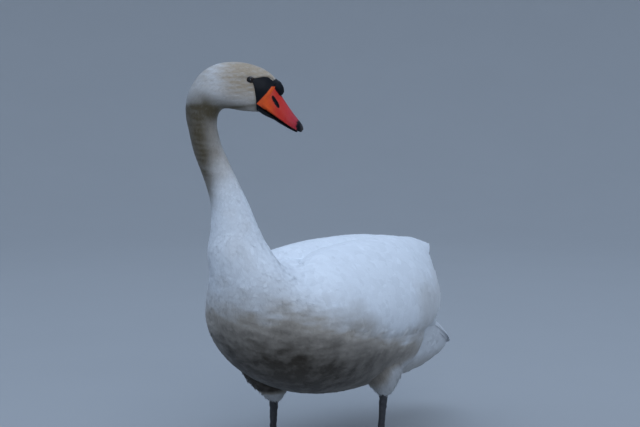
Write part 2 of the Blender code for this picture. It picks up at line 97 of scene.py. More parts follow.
def unit(vectors):
    return vectors / np.maximum(np.linalg.norm(vectors, axis=-1, keepdims=True), 1e-12)


def forward_of(points):
    """How far ahead of the bird's own middle each point is."""
    return SHIFT[1] - points[..., 1]


def smooth(low, high, value):
    """A soft step from 0 at low to 1 at high: t * t * (3 - 2 t)."""
    t = np.clip((value - low) / (high - low), 0, 1)
    return t * t * (3 - 2 * t)


def own_place(forward, left, up):
    """A point in the bird's own terms, before the model was centred on its box."""
    forward, left, up = np.broadcast_arrays(*(np.asarray(v, float) for v in (forward, left, up)))
    return np.stack([left, -forward, up], axis=-1)


LOOK = np.array([math.cos(HEAD_TURN), math.sin(HEAD_TURN)])
LOOK_LEFT = np.array([-LOOK[1], LOOK[0]])


def own_head(along, up, left=0.0):
    """A point of the head in the bird's own terms, from the neck's top."""
    along, up, left = np.broadcast_arrays(*(np.asarray(v, float) for v in (along, up, left)))
    flat = NECK_TOP[:2] + along[..., None] * LOOK + left[..., None] * LOOK_LEFT
    return own_place(flat[..., 0], flat[..., 1], NECK_TOP[2] + up)


# The solids were moved so that the origin lies under the middle of their box. An eye says how far.
SHIFT = np.mean(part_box("eye_left"), axis=0) - own_head(*EYE_IN_HEAD)


def place(forward, left, up):
    """The same point as own_place, in the model's axes."""
    return own_place(forward, left, up) + SHIFT


def in_head(along, up, left=0.0):
    """A point of the head: along the way it looks, up, and to its own left, from the neck's top."""
    return own_head(along, up, left) + SHIFT


HEAD_LOOK = in_head(1, 0) - in_head(0, 0)
HEAD_LEFT = in_head(0, 0, 1) - in_head(0, 0)
UP = np.array([0.0, 0.0, 1.0])
LEFT = own_place(0, 1, 0)


def head_terms(points):
    """The inverse of in_head: how far along, up and left each point is."""
    from_neck = points - in_head(0, 0)
    return from_neck @ HEAD_LOOK, from_neck[..., 2], from_neck @ HEAD_LEFT


# ---------------------------------------------------------------- rings


def ring_row(upper, lower, half_width, side, waist=0.5):
    """One ring's numbers: highest point, lowest point, the way to its side, and its waist's share up."""
    return [*upper, *lower, *(np.asarray(side) * half_width), waist]


def profile_rows(keys, point, side, waist=0.5):
    """Rings from keys of upper point, lower point and half width, all in one plane."""
    return [ring_row(point(*high), point(*low), half, side, waist) for high, low, half in keys]


def midline(forward, up):
    """A place on the bird's middle plane."""
    return place(forward, 0, up)


def smooth_rows(rows, at):
    """The rows' numbers at fractional places: a cubic on each span, level with its neighbours' slopes."""
    at = np.clip(at, 0, len(rows) - 1)
    span = np.minimum(at.astype(int), len(rows) - 2)
    t = (at - span)[..., None]
    before, after = rows[np.maximum(span - 1, 0)], rows[np.minimum(span + 2, len(rows) - 1)]
    start, end = rows[span], rows[span + 1]
    slope_in, slope_out = (end - before) / 2, (after - start) / 2
    return (
        start * (1 + 2 * t) * (1 - t) ** 2
        + slope_in * t * (1 - t) ** 2
        + end * t * t * (3 - 2 * t)
        + slope_out * t * t * (t - 1)
    )


def trunk_rows():
    back, belly, wide = BACK_HEIGHT, BELLY_HEIGHT, HALF_WIDTH
    keys = (
        # upper line            lower line               half width
        ((-0.276, back - 0.107), (-0.272, belly + 0.101), wide * 0.05),
        ((-0.268, back - 0.077), (-0.266, belly + 0.050), wide * 0.34),
        ((-0.242, back - 0.050), (-0.246, belly + 0.020), wide * 0.60),
        ((-0.172, back - 0.020), (-0.180, belly + 0.003), wide * 0.86),
        ((-0.080, back - 0.003), (-0.085, belly - 0.001), wide * 0.98),
        ((0.010, back + 0.003), (0.012, belly + 0.003), wide),
        ((0.080, back + 0.004), (0.108, belly + 0.022), wide * 0.99),
        ((0.130, back + 0.004), (0.192, belly + 0.061), wide * 0.93),
        ((0.165, back + 0.008), (0.254, belly + 0.119), wide * 0.79),
        ((0.188, back + 0.017), (0.284, belly + 0.184), wide * 0.62),
        ((0.201, back + 0.032), (0.300, belly + 0.252), wide * 0.47),
    )
    return profile_rows(keys, midline, LEFT, 0.47)


def neck_rows():
    keys = (
        # forward, left, up, radius, how far the neck has twisted towards the head's way
        (0.256, -0.013, 0.438, 0.0545, 0.03),
        (0.2605, -0.016, 0.472, 0.0440, 0.09),
        (0.266, -0.021, 0.513, 0.0345, 0.22),
        (0.2745, -0.030, 0.551, 0.0290, 0.44),
        (0.2830, -0.041, 0.586, 0.0268, 0.68),
        (0.2905, -0.052, 0.620, 0.0260, 0.90),
    )
    centres = np.array([place(*key[:3]) for key in keys])
    runs = unit(np.gradient(centres, axis=0))
    rows = []
    for centre, run, (_, _, _, radius, twist) in zip(centres, runs, keys):
        turn = HEAD_TURN * twist
        nape = own_place(-math.cos(turn), -math.sin(turn), 0)
        nape = unit(nape - run * (nape @ run))
        rows.append(ring_row(centre + radius * nape, centre - radius * nape, radius, np.cross(nape, run)))
    return rows


def head_rows():
    keys = (
        # nape or crown        throat or chin       half width
        ((-0.0262, 0.0000), (0.0264, 0.0010), 0.0262),
        ((-0.0308, 0.0230), (0.0252, 0.0130), 0.0270),
        ((-0.0315, 0.0470), (0.0270, 0.0262), 0.0278),
        ((-0.0255, 0.0710), (0.0315, 0.0350), 0.0284),
        ((-0.0120, 0.0945), (0.0380, 0.0398), 0.0288),
        ((0.0065, 0.1120), (0.0480, 0.0405), 0.0292),
        ((0.0300, 0.1218), (0.0590, 0.0390), 0.0296),
        ((0.0560, 0.1250), (0.0710, 0.0370), 0.0296),
        ((0.0820, 0.1225), (0.0835, 0.0358), 0.0286),
        ((0.1060, 0.1155), (0.0945, 0.0350), 0.0262),
        ((0.1240, 0.1055), (0.1030, 0.0345), 0.0228),
        ((0.1370, 0.0930), (0.1095, 0.0330), 0.0186),
    )
    return profile_rows(keys, in_head, HEAD_LEFT)


def wing_rows(side):
    reach, top = WING_SPREAD, BACK_HEIGHT + 0.019
    keys = (
        # forward, upper edge (left, up),       lower edge (left, up),        bulge out and in
        (0.196, (reach * 0.52, top - 0.062), (reach * 0.56, top - 0.080), 0.003, -0.003),
        (0.176, (reach * 0.42, top - 0.038), (reach * 0.68, top - 0.108), 0.020, -0.010),
        (0.130, (reach * 0.20, top - 0.020), (reach * 0.80, top - 0.140), 0.050, 0.010),
        (0.060, (reach * 0.06, top - 0.008), (reach * 0.83, top - 0.166), 0.068, 0.020),
        (-0.020, (reach * 0.03, top - 0.002), (reach * 0.83, top - 0.180), 0.075, 0.026),
        (-0.100, (reach * 0.03, top), (reach * 0.80, top - 0.186), 0.074, 0.030),
        (-0.180, (reach * 0.03, top), (reach * 0.75, top - 0.182), 0.066, 0.030),
        (-0.245, (reach * 0.05, top - 0.004), (reach * 0.65, top - 0.172), 0.050, 0.024),
        (-0.298, (reach * 0.08, top - 0.008), (reach * 0.54, top - 0.156), 0.031, 0.015),
        (-0.332, (reach * 0.10, top - 0.015), (reach * 0.42, top - 0.122), 0.015, 0.006),
        (-0.362, (reach * 0.14, top - 0.024), (reach * 0.24, top - 0.056), 0.004, 0.000),
    )
    rows = []
    for forward, upper, lower, bulge, hollow in keys:
        high, low = place(forward, side * upper[0], upper[1]), place(forward, side * lower[0], lower[1])
        out = unit(np.cross(high - low, own_place(1, 0, 0))) * side
        rows.append([*high, *low, *(out * bulge), *(out * hollow)])
    return rows


def tail_rows():
    keys = (
        # share of the way to the tip, half width, thickness above and below the tail's line
        (0.00, 0.066, 0.040, 0.118),
        (0.18, 0.077, 0.034, 0.128),
        (0.38, 0.079, 0.024, 0.121),
        (0.58, 0.072, 0.016, 0.093),
        (0.78, 0.053, 0.009, 0.055),
        (0.94, 0.027, 0.006, 0.024),
        (1.00, 0.008, 0.002, 0.006),
    )
    base, tip = place(*TAIL_BASE), place(*TAIL_TIP)
    up = unit(np.cross(tip - base, own_place(0, -1, 0)))
    rows = []
    for share, half, above, below in keys:
        centre = base + (tip - base) * share
        waist = below / (above + below)
        rows.append(ring_row(centre + up * above, centre - up * below, half, LEFT, waist))
    return rows


def rump_rows():
    """The soft mass of inner wing and back feathers that fills the space between the folded wings."""
    keys = (
        # upper line       lower line       half width
        ((-0.110, 0.392), (-0.110, 0.240), 0.112),
        ((-0.190, 0.397), (-0.190, 0.230), 0.113),
        ((-0.240, 0.394), (-0.240, 0.205), 0.104),
        ((-0.280, 0.374), (-0.280, 0.185), 0.093),
        ((-0.312, 0.330), (-0.312, 0.175), 0.080),
        ((-0.342, 0.280), (-0.342, 0.168), 0.063),
        ((-0.370, 0.232), (-0.370, 0.160), 0.042),
        ((-0.390, 0.188), (-0.390, 0.160), 0.020),
    )
    return profile_rows(keys, midline, LEFT, 0.35)


def thigh_rows(ankle, side):
    forward, left, up = ankle
    keys = (
        # above the ankle, forward of it, half length, half width
        (0.110, 0.030, 0.078, 0.036),
        (0.070, 0.022, 0.072, 0.038),
        (0.036, 0.010, 0.054, 0.034),
        (0.014, 0.003, 0.032, 0.025),
        (-0.002, 0.000, 0.017, 0.015),
        (-0.008, -0.001, 0.0105, 0.0095),
    )
    rows = []
    for above, ahead, length, width in keys:
        front = place(forward + ahead + length, left, up + above)
        rear = place(forward + ahead - length, left, up + above)
        rows.append(ring_row(front, rear, width, own_place(0, side, 0)))
    return rows


# ---------------------------------------------------------------- forms


FULL_TURN = (-1e9, 1e9)
OUTER_FACE, INNER_FACE = (0.0, math.pi), (math.pi, WHOLE_TURN)


def around(sides):
    """The turns of a closed ring's points."""
    return np.linspace(0, WHOLE_TURN, sides, endpoint=False)


def ring_grid(s, sides):
    """Arrays of s and t for rings of so many points."""
    return np.meshgrid(s, around(sides), indexing="ij")


class Form:
    """A surface over ring number s and turn t, where each ring is two half ellipses that meet.

    A point is middle + cos t * (upper or lower half) + sin t * side. `limits` are the least and
    greatest s and t; outside them the surface goes straight on along its edge's own slope.
    """

    def __init__(self, rows, outward, turns=FULL_TURN, square=2.0):
        self.rows, self.outward, self.square = np.array(rows), outward, square
        self.limits = ((0.0, len(rows) - 1.0), turns)

    def on_ring(self, row, t):
        upper, lower, side, waist = row[..., 0:3], row[..., 3:6], row[..., 6:9], row[..., 9:10]
        middle = lower + (upper - lower) * waist
        high, wide = np.cos(t)[..., None], np.sin(t)[..., None]
        if self.square != 2.0:
            high, wide = (np.sign(v) * np.abs(v) ** (2 / self.square) for v in (high, wide))
        return middle + np.where(high > 0, high * (upper - middle), high * (middle - lower)) + wide * side

    def inside(self, s, t):
        return self.on_ring(smooth_rows(self.rows, s), t)

    def slopes(self, s, t):
        """Differences of the surface over a small step each way, as slopes by s and by t."""
        low, high = self.limits[0]
        before, after = np.clip(s - 0.02, low, high), np.clip(s + 0.02, low, high)
        by_s = (self.inside(after, t) - self.inside(before, t)) / (after - before)[..., None]
        by_t = (self.inside(s, t + 0.01) - self.inside(s, t - 0.01)) / 0.02
        return by_s, by_t

    def frame(self, s, t):
        """Point, slope by s, slope by t and outward normal."""
        near_s, near_t = np.clip(s, *self.limits[0]), np.clip(t, *self.limits[1])
        by_s, by_t = self.slopes(near_s, near_t)
        points = self.inside(near_s, near_t)
        points = points + by_s * (s - near_s)[..., None] + by_t * (t - near_t)[..., None]
        return points, by_s, by_t, unit(np.cross(by_s, by_t)) * self.outward

    def points(self, s, t):
        return self.frame(s, t)[0]

    def rings(self, s, sides, inset):
        """Rings of points at each s, drawn in by inset."""
        rows = smooth_rows(self.rows, s)
        inset = np.broadcast_to(inset, (len(rows),))[:, None]
        axis = unit(rows[:, 0:3] - rows[:, 3:6])
        rows[:, 0:3] -= axis * inset
        rows[:, 3:6] += axis * inset
        rows[:, 6:9] -= unit(rows[:, 6:9]) * inset
        return self.on_ring(rows[:, None], around(sides)[None])


class WingForm(Form):
    """A folded wing: t from 0 to pi is its outer face, and on to two pi the inner one."""

    EDGE = 0.003

    def on_ring(self, row, t):
        high, low, out, hollow = (row[..., i : i + 3] for i in (0, 3, 6, 9))
        middle, half = (high + low) / 2, (high - low) / 2
        wave = np.sin(t)[..., None]
        points = middle + np.cos(t)[..., None] * half
        return points + np.where(wave >= 0, wave * out, -wave * hollow - self.EDGE * unit(out))

    def rings(self, s, sides, inset):
        """Crescent rings, drawn towards their middle by inset on the outer face and edges."""
        rows = smooth_rows(self.rows, s)
        high, low, out = rows[:, 0:3], rows[:, 3:6], rows[:, 6:9]
        rise = unit(high - low) * np.minimum(inset, np.linalg.norm(high - low, axis=1, keepdims=True) * 0.3)
        bulge = np.linalg.norm(out, axis=1, keepdims=True)
        rows[:, 0:3], rows[:, 3:6] = high - rise, low + rise
        rows[:, 6:9] = out * np.maximum(bulge - inset, bulge * 0.3) / bulge
        return self.on_ring(rows[:, None], around(sides)[None])


BODY = Form(trunk_rows() + neck_rows() + head_rows(), 1)
HEAD_START, BODY_END = 16.0, BODY.limits[0][1]
WINGS = {name: WingForm(wing_rows(side), -side, OUTER_FACE) for name, side in SIDES.items()}
WING_INSIDES = {name: WingForm(form.rows, -SIDES[name], INNER_FACE) for name, form in WINGS.items()}
TAIL = Form(tail_rows(), -1)
RUMP = Form(rump_rows(), -1)
THIGHS = {name: Form(thigh_rows(ANKLES[name], side), side) for name, side in SIDES.items()}


# ---------------------------------------------------------------- meshes


def grid_faces(rows, columns, around=False):
    """Quads of a grid numbered row by row, facing the way from row direction round to column direction."""
    i, j = np.meshgrid(np.arange(rows - 1), np.arange(columns if around else columns - 1), indexing="ij")
    a, b = i * columns + j, i * columns + (j + 1) % columns
    return np.stack([a, a + columns, b + columns, b], axis=-1).reshape(-1, 4)


def put_values(mesh, name, numbers):
    """A number or a vector for each vertex, as a named attribute."""
    kind, field = ("FLOAT_VECTOR", "vector") if numbers.ndim == 2 else ("FLOAT", "value")
    layer = mesh.attributes.new(name, kind, "POINT")
    layer.data.foreach_set(field, numbers.astype(np.float32).ravel())


def make_mesh(name, points, faces, material, maps=None, values=None, normals=None):
    """One finished piece from arrays: points, quads (a repeated last corner makes a triangle), maps."""
    mesh = bpy.data.meshes.new(name)
    keep = np.ones(faces.shape, bool)
    keep[:, 3] = faces[:, 2] != faces[:, 3]
    corners, counts = faces[keep], keep.sum(axis=1)
    starts = np.concatenate([[0], np.cumsum(counts)[:-1]])
    mesh.vertices.add(len(points))
    mesh.vertices.foreach_set("co", np.ascontiguousarray(points, np.float32).ravel())
    mesh.loops.add(len(corners))
    mesh.loops.foreach_set("vertex_index", corners.astype(np.int32))
    mesh.polygons.add(len(faces))
    mesh.polygons.foreach_set("loop_start", starts.astype(np.int32))
    mesh.polygons.foreach_set("loop_total", counts.astype(np.int32))
    mesh.update(calc_edges=True)
    for map_name, places in (maps or {}).items():
        layer = mesh.uv_layers.new(name=map_name)
        layer.data.foreach_set("uv", places[corners].astype(np.float32).ravel())
    for value_name, numbers in (values or {}).items():
        put_values(mesh, value_name, numbers)
    mesh.materials.append(material)
    mesh.shade_smooth()
    mesh.validate()
    if normals is not None:
        mesh.normals_split_custom_set_from_vertices(normals.astype(np.float32))
    return add_piece(name, mesh)


def add_piece(name, mesh):
    obj = bpy.data.objects.new(name, mesh)
    bpy.context.scene.collection.objects.link(obj)
    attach(obj, "root")
    return obj


def tube(rings):
    """Points and faces of a closed tube through rings of points, with a fan to the middle of each end."""
    count, sides = rings.shape[:2]
    points = np.concatenate([rings.reshape(-1, 3), rings[:1].mean(axis=1), rings[-1:].mean(axis=1)])
    faces = grid_faces(count, sides, around=True)
    j = np.arange(sides)
    after, first, end = (j + 1) % sides, count * sides, (count - 1) * sides
    caps = [
        np.stack([np.full(sides, first), j, after, after], axis=-1),
        np.stack([np.full(sides, first + 1), end + after, end + j, end + j], axis=-1),
    ]
    return points, facing_out(points, np.concatenate([faces, *caps]))


def facing_out(points, faces):
    """The same faces, turned round if together they enclose a negative volume."""
    a, b, c, d = (points[faces[:, i]] for i in range(4))
    volume = (np.cross(b - a, c - a) * a).sum() + (np.cross(c - a, d - a) * a).sum()
    if volume >= 0:
        return faces
    turned = faces[:, ::-1].copy()
    same = faces[:, 2] == faces[:, 3]
    turned[same] = faces[same][:, [1, 0, 2, 2]]
    return turned


def facing(points, faces, outward):
    """The same faces, turned round if together they look against outward."""
    corners = points[faces]
    normals = np.cross(corners[:, 1] - corners[:, 0], corners[:, 2] - corners[:, 0])
    return faces if (normals @ outward).sum() >= 0 else faces[:, ::-1]


def off_middle(points, normal):
    """Rings' normals, turned round if together they look at the rings' middles."""
    centre = points.mean(axis=1, keepdims=True)
    return normal if ((points - centre) * normal).sum() >= 0 else -normal


def join_parts(parts):
    """Several (points, faces) as one."""
    points, faces = zip(*parts)
    firsts = np.cumsum([0] + [len(part) for part in points[:-1]])
    return np.concatenate(points), np.concatenate([part + first for part, first in zip(faces, firsts)])


def waves(points, size, seed, octaves=3):
    """Smooth noise from about -1 to 1: sums of sines along random directions, halved in size each octave."""
    draw = np.random.default_rng(seed)
    total = np.zeros(points.shape[:-1])
    for octave in range(octaves):
        count = 7
        way = unit(draw.normal(size=(count, 3))) * (WHOLE_TURN / size * 2**octave)
        phase = draw.uniform(0, WHOLE_TURN, count)
        total += np.sin(points @ way.T + phase).sum(axis=-1) / math.sqrt(count) * 0.55**octave
    return total * 0.75


# ---------------------------------------------------------------- markings, for skin and coat alike


# The neck's middle by height: how high, and how far along the way the head looks.
NECK_LINE = head_terms((BODY.rows[11:20, 0:3] + BODY.rows[11:20, 3:6]) / 2)[1::-1]


def bump_at(value, middle, spread):
    """A bell round middle: exp(-((value - middle) / spread) ** 2)."""
    return np.exp(-(((value - middle) / spread) ** 2))


def head_stains_and_shade(points, wobble):
    """Buff of the crown and cheeks, and the upper neck's dark stain fading down it, with painted shade under
    the head, on the nape side, the hind crown and in folds.
    """
    along, up, left = head_terms(points)
    near_head = smooth(0.16, 0.10, np.abs(left)) * smooth(-0.27, -0.22, up)
    streaks = waves(points * np.array([1, 1, 2.5]), 0.022, 4)
    crown = smooth(0.050, 0.105, up + 0.22 * along)
    ahead = smooth(0.02, 0.07, along)
    cap = 0.22 + 0.26 * crown
    buff = smooth(-0.02, 0.05, up + 0.2 * along) * (cap + cap * ahead) + 0.14 * crown * streaks
    buff = buff + 0.08 * wobble + 0.60 * smooth(-0.14, -0.04, up) * smooth(0.05, 0.0, up)
    # The mark runs further down the neck's nape side as painted shade, and is lighter in front as painted
    # light, where the neck faces the light.
    beside = np.clip(along - np.interp(up, *NECK_LINE), -0.03, 0.03)
    fade = 1.5 * beside - 0.084
    olive = smooth(fade - 0.045, fade + 0.045, up + 0.008 * wobble)
    olive = olive * smooth(0.086, 0.046, up + 0.25 * np.abs(along))
    olive = olive * (1 - 0.6 * smooth(0.080, 0.105, along))
    # Painted light: less of the mark low on the front of the neck, which faces the light.
    paled = smooth(0.0, 0.034, beside + 0.12 * (0.02 - up))
    olive = olive * (1 - 0.50 * paled * smooth(0.030, 0.006, up))
    olive = olive * (1 - 0.28 * smooth(0.012, 0.0, along) * smooth(0.044, 0.054, up))
    # Painted shade on the hind crown, which greys it.
    olive = olive + 0.20 * smooth(0.045, -0.010, along) * smooth(0.04, 0.07, up)
    # Painted shade on the throat, under the chin.
    throat = smooth(0.066, 0.036, up) * smooth(0.02, 0.05, along)
    olive = np.maximum(olive, 0.55 * throat * smooth(0.0, 0.03, up))
    # Painted shade in a fold along the jaw, and in a fold over the eye.
    level = up + 0.10 * (0.1 - along)
    jaw_fold_shade = bump_at(level, 0.0470, 0.0035) * smooth(0.035, 0.075, along)
    brow_fold_shade = bump_at(level, 0.0990, 0.0030) * smooth(0.060, 0.085, along)
    olive = olive + 0.30 * jaw_fold_shade + 0.30 * brow_fold_shade * smooth(0.108, 0.096, along)
    olive = np.clip(olive, 0, 1) * np.clip(0.97 + 0.05 * wobble + 0.05 * streaks, 0, 1)
    return np.clip(buff * near_head, 0, 1), olive * near_head


def soiling_and_shading(points, wobble):
    """How dark the belly's plumage is: stain with painted shade in it, deepest at the breast, lower and
    lighter on the flank, little on the thighs.
    """
    height, forward = points[..., 2], forward_of(points)
    clumps = waves(points * np.array([0.7, 0.7, 2.2]), 0.06, 5)
    ripple = waves(points * np.array([0.5, 0.5, 3.0]), 0.032, 8)
    level = height + 0.005 * wobble + 0.010 * clumps + 0.005 * ripple
    level = level - 0.036 * smooth(0.10, 0.27, forward)
    front, rear = smooth(-0.05, 0.12, forward), smooth(-0.09, -0.15, forward)
    amount = (0.80 + 0.20 * front) * (1 - 0.58 * rear)
    soil = amount * smooth(0.268 + 0.094 * front, 0.176 + 0.002 * front, level)
    rear_thigh = smooth(-0.03, -0.08, forward) * smooth(0.190, 0.160, height)
    soil = soil * (1 - 0.75 * np.maximum(rear_thigh, smooth(0.127, 0.112, height)))
    # Painted shade low at the rear, where the folded wing turns away from the light.
    soil = soil + 0.20 * smooth(0.36, 0.30, level) * rear
    # Darker patches where the flank's feathers end, above the thigh.
    patch = bump_at(forward, -0.005, 0.050) * bump_at(height, 0.220, 0.024)
    soil = soil + 0.30 * patch * smooth(-0.8, 0.4, clumps + 0.5 * ripple)
    # Under the tail: a little stain, with painted shade that deepens towards the bottom.
    under_tail = 0.10 + 0.25 * smooth(0.170, 0.130, height)
    tail = smooth(-0.19, -0.27, forward) * smooth(0.30, 0.25, height)
    return np.clip(soil * (1 - tail) + under_tail * tail, 0, 1)


def markings(points):
    """How buff, how stained dark at the neck and how dark at the belly the plumage is at each point, each
    from 0 to 1; both dark marks hold painted shade as well as stain.
    """
    wobble = waves(points, 0.07, 3)
    return np.stack([*head_stains_and_shade(points, wobble), soiling_and_shading(points, wobble)], axis=-1)


# ---------------------------------------------------------------- the map for the coat's bake

# Each form's share of the unit square: (left, bottom, width, height).
BAKE_AREAS = {
    "body": (0.00, 0.00, 0.60, 1.00),
    "wing_left": (0.62, 0.52, 0.36, 0.23),
    "wing_right": (0.62, 0.26, 0.36, 0.23),
    "tail": (0.62, 0.78, 0.17, 0.20),
    "rump": (0.81, 0.78, 0.17, 0.20),
    "thigh_left": (0.62, 0.02, 0.17, 0.20),
    "thigh_right": (0.81, 0.02, 0.17, 0.20),
}
PATCH = 0.003
WING_TURN = 2.2 * math.pi


def bake_place(area, along, round_it):
    """The root's place on the unwrap: its form's area, by share along it and share round it."""
    x, y, width, height = BAKE_AREAS[area]
    return np.stack([x + width * np.clip(along, 0, 1), y + height * (round_it % 1.0)], axis=-1)


# ---------------------------------------------------------------- scattering roots


# A series of number pairs that fills the unit square evenly goes on by these steps.
PAIR_STEPS = np.array([0.7548776662466927, 0.5698402909980532])


def scatter(form, s_range, t_range, gap, seed, fine=160):
    """Roots spread evenly over part of a form, about gap metres apart (a number, or a function of s).

    A low-discrepancy series of number pairs is stretched so that each stretch of the surface gets
    roots by its area over gap squared: first by the share of area up to s, then up to t on that s.
    """
    s, t = np.linspace(*s_range, fine + 1), np.linspace(*t_range, fine + 1)
    grid_s, grid_t = np.meshgrid((s[1:] + s[:-1]) / 2, (t[1:] + t[:-1]) / 2, indexing="ij")
    by_s, by_t = form.slopes(np.clip(grid_s, *form.limits[0]), grid_t)
    area = np.linalg.norm(np.cross(by_s, by_t), axis=-1) * (s[1] - s[0]) * (t[1] - t[0])
    weight = area / (gap(grid_s) if callable(gap) else gap) ** 2
    index = np.arange(int(weight.sum()))[:, None]
    start = np.random.default_rng(seed).uniform(size=2)
    pairs = (start + index * PAIR_STEPS) % 1.0
    by_row = np.concatenate([[0], np.cumsum(weight.sum(axis=1))])
    root_s = np.interp(pairs[:, 0], by_row / by_row[-1], s)
    row = np.clip(np.searchsorted(s, root_s) - 1, 0, fine - 1)
    within = np.concatenate([np.zeros((fine, 1)), np.cumsum(weight, axis=1)], axis=1)
    within /= within[:, -1:]
    # One rising series over all rows lets a single interpolation serve every row.
    stacked = (within + np.arange(fine)[:, None] * 2).ravel()
    places = np.broadcast_to(np.arange(fine + 1.0), within.shape).ravel()
    at = np.interp(pairs[:, 1] + row * 2, stacked, places)
    return root_s, t[0] + at * (t[1] - t[0])


# ---------------------------------------------------------------- vanes


def vane_profile(kind, u):
    """Half width of a vane from root 0 to tip 1, as a share of its greatest half width."""
    if kind == "tuft":
        return (0.35 + 0.65 * np.sin(np.clip(u / 0.6, 0, 1) * math.pi / 2)) * (1 - u**3 * 0.88)
    # root width, where it is widest, where the tip's rounding starts, its power and its depth
    root, full, tip, power, depth = {
        "blade": (0.45, 0.35, 0.82, 2, 0.97),
        "vane": (0.40, 0.50, 0.55, 2.4, 0.96),
    }[kind]
    rise = root + (1 - root) * np.sin(np.clip(u / full, 0, 1) * math.pi / 2)
    return rise * np.sqrt(np.clip(1 - (np.clip(u - tip, 0, 1) / (1 - tip)) ** power * depth, 0, 1))


def steps(count, power=1.5):
    """Shares from 0 to 1, closer together towards 1: 1 - (1 - x) ** power."""
    return 1 - (1 - np.linspace(0, 1, count)) ** power


def per_vane(values):
    return values[:, None, None]


def vane_map(u, v):
    """Each vane's own map: its share from root to tip, and its share from edge to edge."""
    return np.stack(np.meshgrid(u, (v + 1) / 2, indexing="ij"), axis=-1)[None]


class Coat:
    """Gathers sheets of vanes for one piece: points, quads, maps, tone and normals."""

    def __init__(self, seed):
        self.sheets, self.faces, self.offset = [], [], 0
        self.draw = np.random.default_rng(seed)

    def vary(self, roots):
        """A number for each root, from a normal spread."""
        return self.draw.normal(size=len(roots))

    def add(self, points, uv, bake_root, tone, outward, softness):
        """points is vanes x steps x columns x 3. The rest hold one row, or one number, for each vane.

        The shading normals are the vane's own, drawn by softness towards the form's outward ones.
        """
        own = unit(np.cross(np.gradient(points, axis=1), np.gradient(points, axis=2)))
        if (own * outward).sum() < 0:
            points, own, outward = points[:, :, ::-1], -own[:, :, ::-1], outward[:, :, ::-1]
        own = own * np.where((own * outward).sum(-1, keepdims=True) < 0, -1, 1)
        count, rows, columns = points.shape[:3]
        size = rows * columns
        first = self.offset + np.arange(count) * size
        self.faces.append((per_vane(first) + grid_faces(rows, columns)).reshape(-1, 4))
        self.offset += count * size
        maps = (uv, bake_root[:, None, None] + (uv - 0.5) * PATCH)
        self.sheets.append((
            points.reshape(-1, 3),
            *(np.broadcast_to(places, (count, rows, columns, 2)).reshape(-1, 2) for places in maps),
            np.repeat(tone, size),
            unit(own * (1 - softness) + outward * softness).reshape(-1, 3),
        ))

    def make(self, name, material):
        points, uv, bake, tone, normals = (np.concatenate(arrays) for arrays in zip(*self.sheets))
        values, maps = {"marks": markings(points), "tone": tone}, {"surface": uv, "OFBake": bake}
        faces = np.concatenate(self.faces)
        return make_mesh(name, points, faces, material, maps, values, normals)


def grow_vanes(
    coat, form, s, t, length, half_width, area, lie=-1, turn=0.0, depth=0.006, lift=0.0, cup=0.0006,
    ridge=0.0, ragged=0.05, bend=0.0, rows=5, columns=3, kind="vane", over=None,
    whole_turn=WHOLE_TURN, tone=0.5, tone_spread=0.14, softness=0.75,
):
    """Vanes rooted at (s, t) of a form, lying along it and following its curve both ways.

    The path from root to tip goes `length` over the surface, turned by `turn` from the form's own
    lie. At share u of the path and v across it (-1 to 1), a vane's point is the form's surface
    there, plus the normal times a height: -depth at the root, easing to `lift` at the tip, less
    `cup` times v squared, plus `ridge` along the middle.
    """
    numbers = (length, half_width, turn, depth, lift, cup, bend)
    length, half_width, turn, depth, lift, cup, bend = (np.broadcast_to(n, s.shape) for n in numbers)
    u, v = steps(rows), np.linspace(-1, 1, columns)
    down, over_it = u[None, :, None], v[None, None, :]

    _, by_s, by_t, normal = form.frame(s, t)
    ahead = unit(by_s) * lie
    way = ahead * np.cos(turn)[:, None] + np.cross(normal, ahead) * np.sin(turn)[:, None]
    steps_way, steps_across = (param_step(by_s, by_t, to) for to in (way, np.cross(normal, way)))

    uneven = np.clip(coat.draw.normal(size=(len(s), 1, columns)), -1.3, 1.3)
    run = per_vane(length) * down * (1 + ragged * uneven * down**4)
    side = per_vane(half_width) * vane_profile(kind, u)[None, :, None] * over_it
    side = side + per_vane(bend * length) * down**2
    spread = (
        per_vane(root) + run * per_vane(steps_way[:, i]) + side * per_vane(steps_across[:, i])
        for i, root in enumerate((s, t))
    )
    points, _, _, normals = form.frame(*spread)
    if over:
        points = over(points)
    # Vanes that are torn long or folded over at the form's edges are left out.
    middle = columns // 2
    stretch = np.linalg.norm(points - points[:, :1, middle : middle + 1], axis=-1).max(axis=(1, 2))
    whole = stretch < 1.6 * length + half_width
    down_run, over_run = np.diff(points, axis=1)[:, :, :-1], np.diff(points, axis=2)[:, :-1]
    whole &= ((np.cross(down_run, over_run) * normals[:, :-1, :-1]).sum(-1) > 0).all(axis=(1, 2))
    height = -per_vane(depth) * (0.06 * (1 - down) + 0.94 * (1 - down) ** 3) + per_vane(lift) * down**2
    height = height - per_vane(cup) * over_it**2 * (0.3 + 0.7 * down)
    height = height + ridge * (1 - np.abs(over_it)) ** 3 * (1 - 0.6 * down)
    points = points + normals * height[..., None]
    low, high = form.limits[0]
    bake_root = bake_place(area, (s - low) / (high - low), t / whole_turn + 1.0)
    tone = tone + tone_spread * coat.vary(s)
    coat.add(points[whole], vane_map(u, v), bake_root[whole], tone[whole], normals[whole], softness)


def param_step(by_s, by_t, way):
    """How much s and t change for a metre along a direction on the surface (least squares)."""
    ss, st, tt = (by_s * by_s).sum(-1), (by_s * by_t).sum(-1), (by_t * by_t).sum(-1)
    sw, tw = (by_s * way).sum(-1), (by_t * way).sum(-1)
    whole = np.maximum(ss * tt - st * st, 1e-14)
    return np.stack([(sw * tt - tw * st) / whole, (tw * ss - sw * st) / whole], axis=-1)


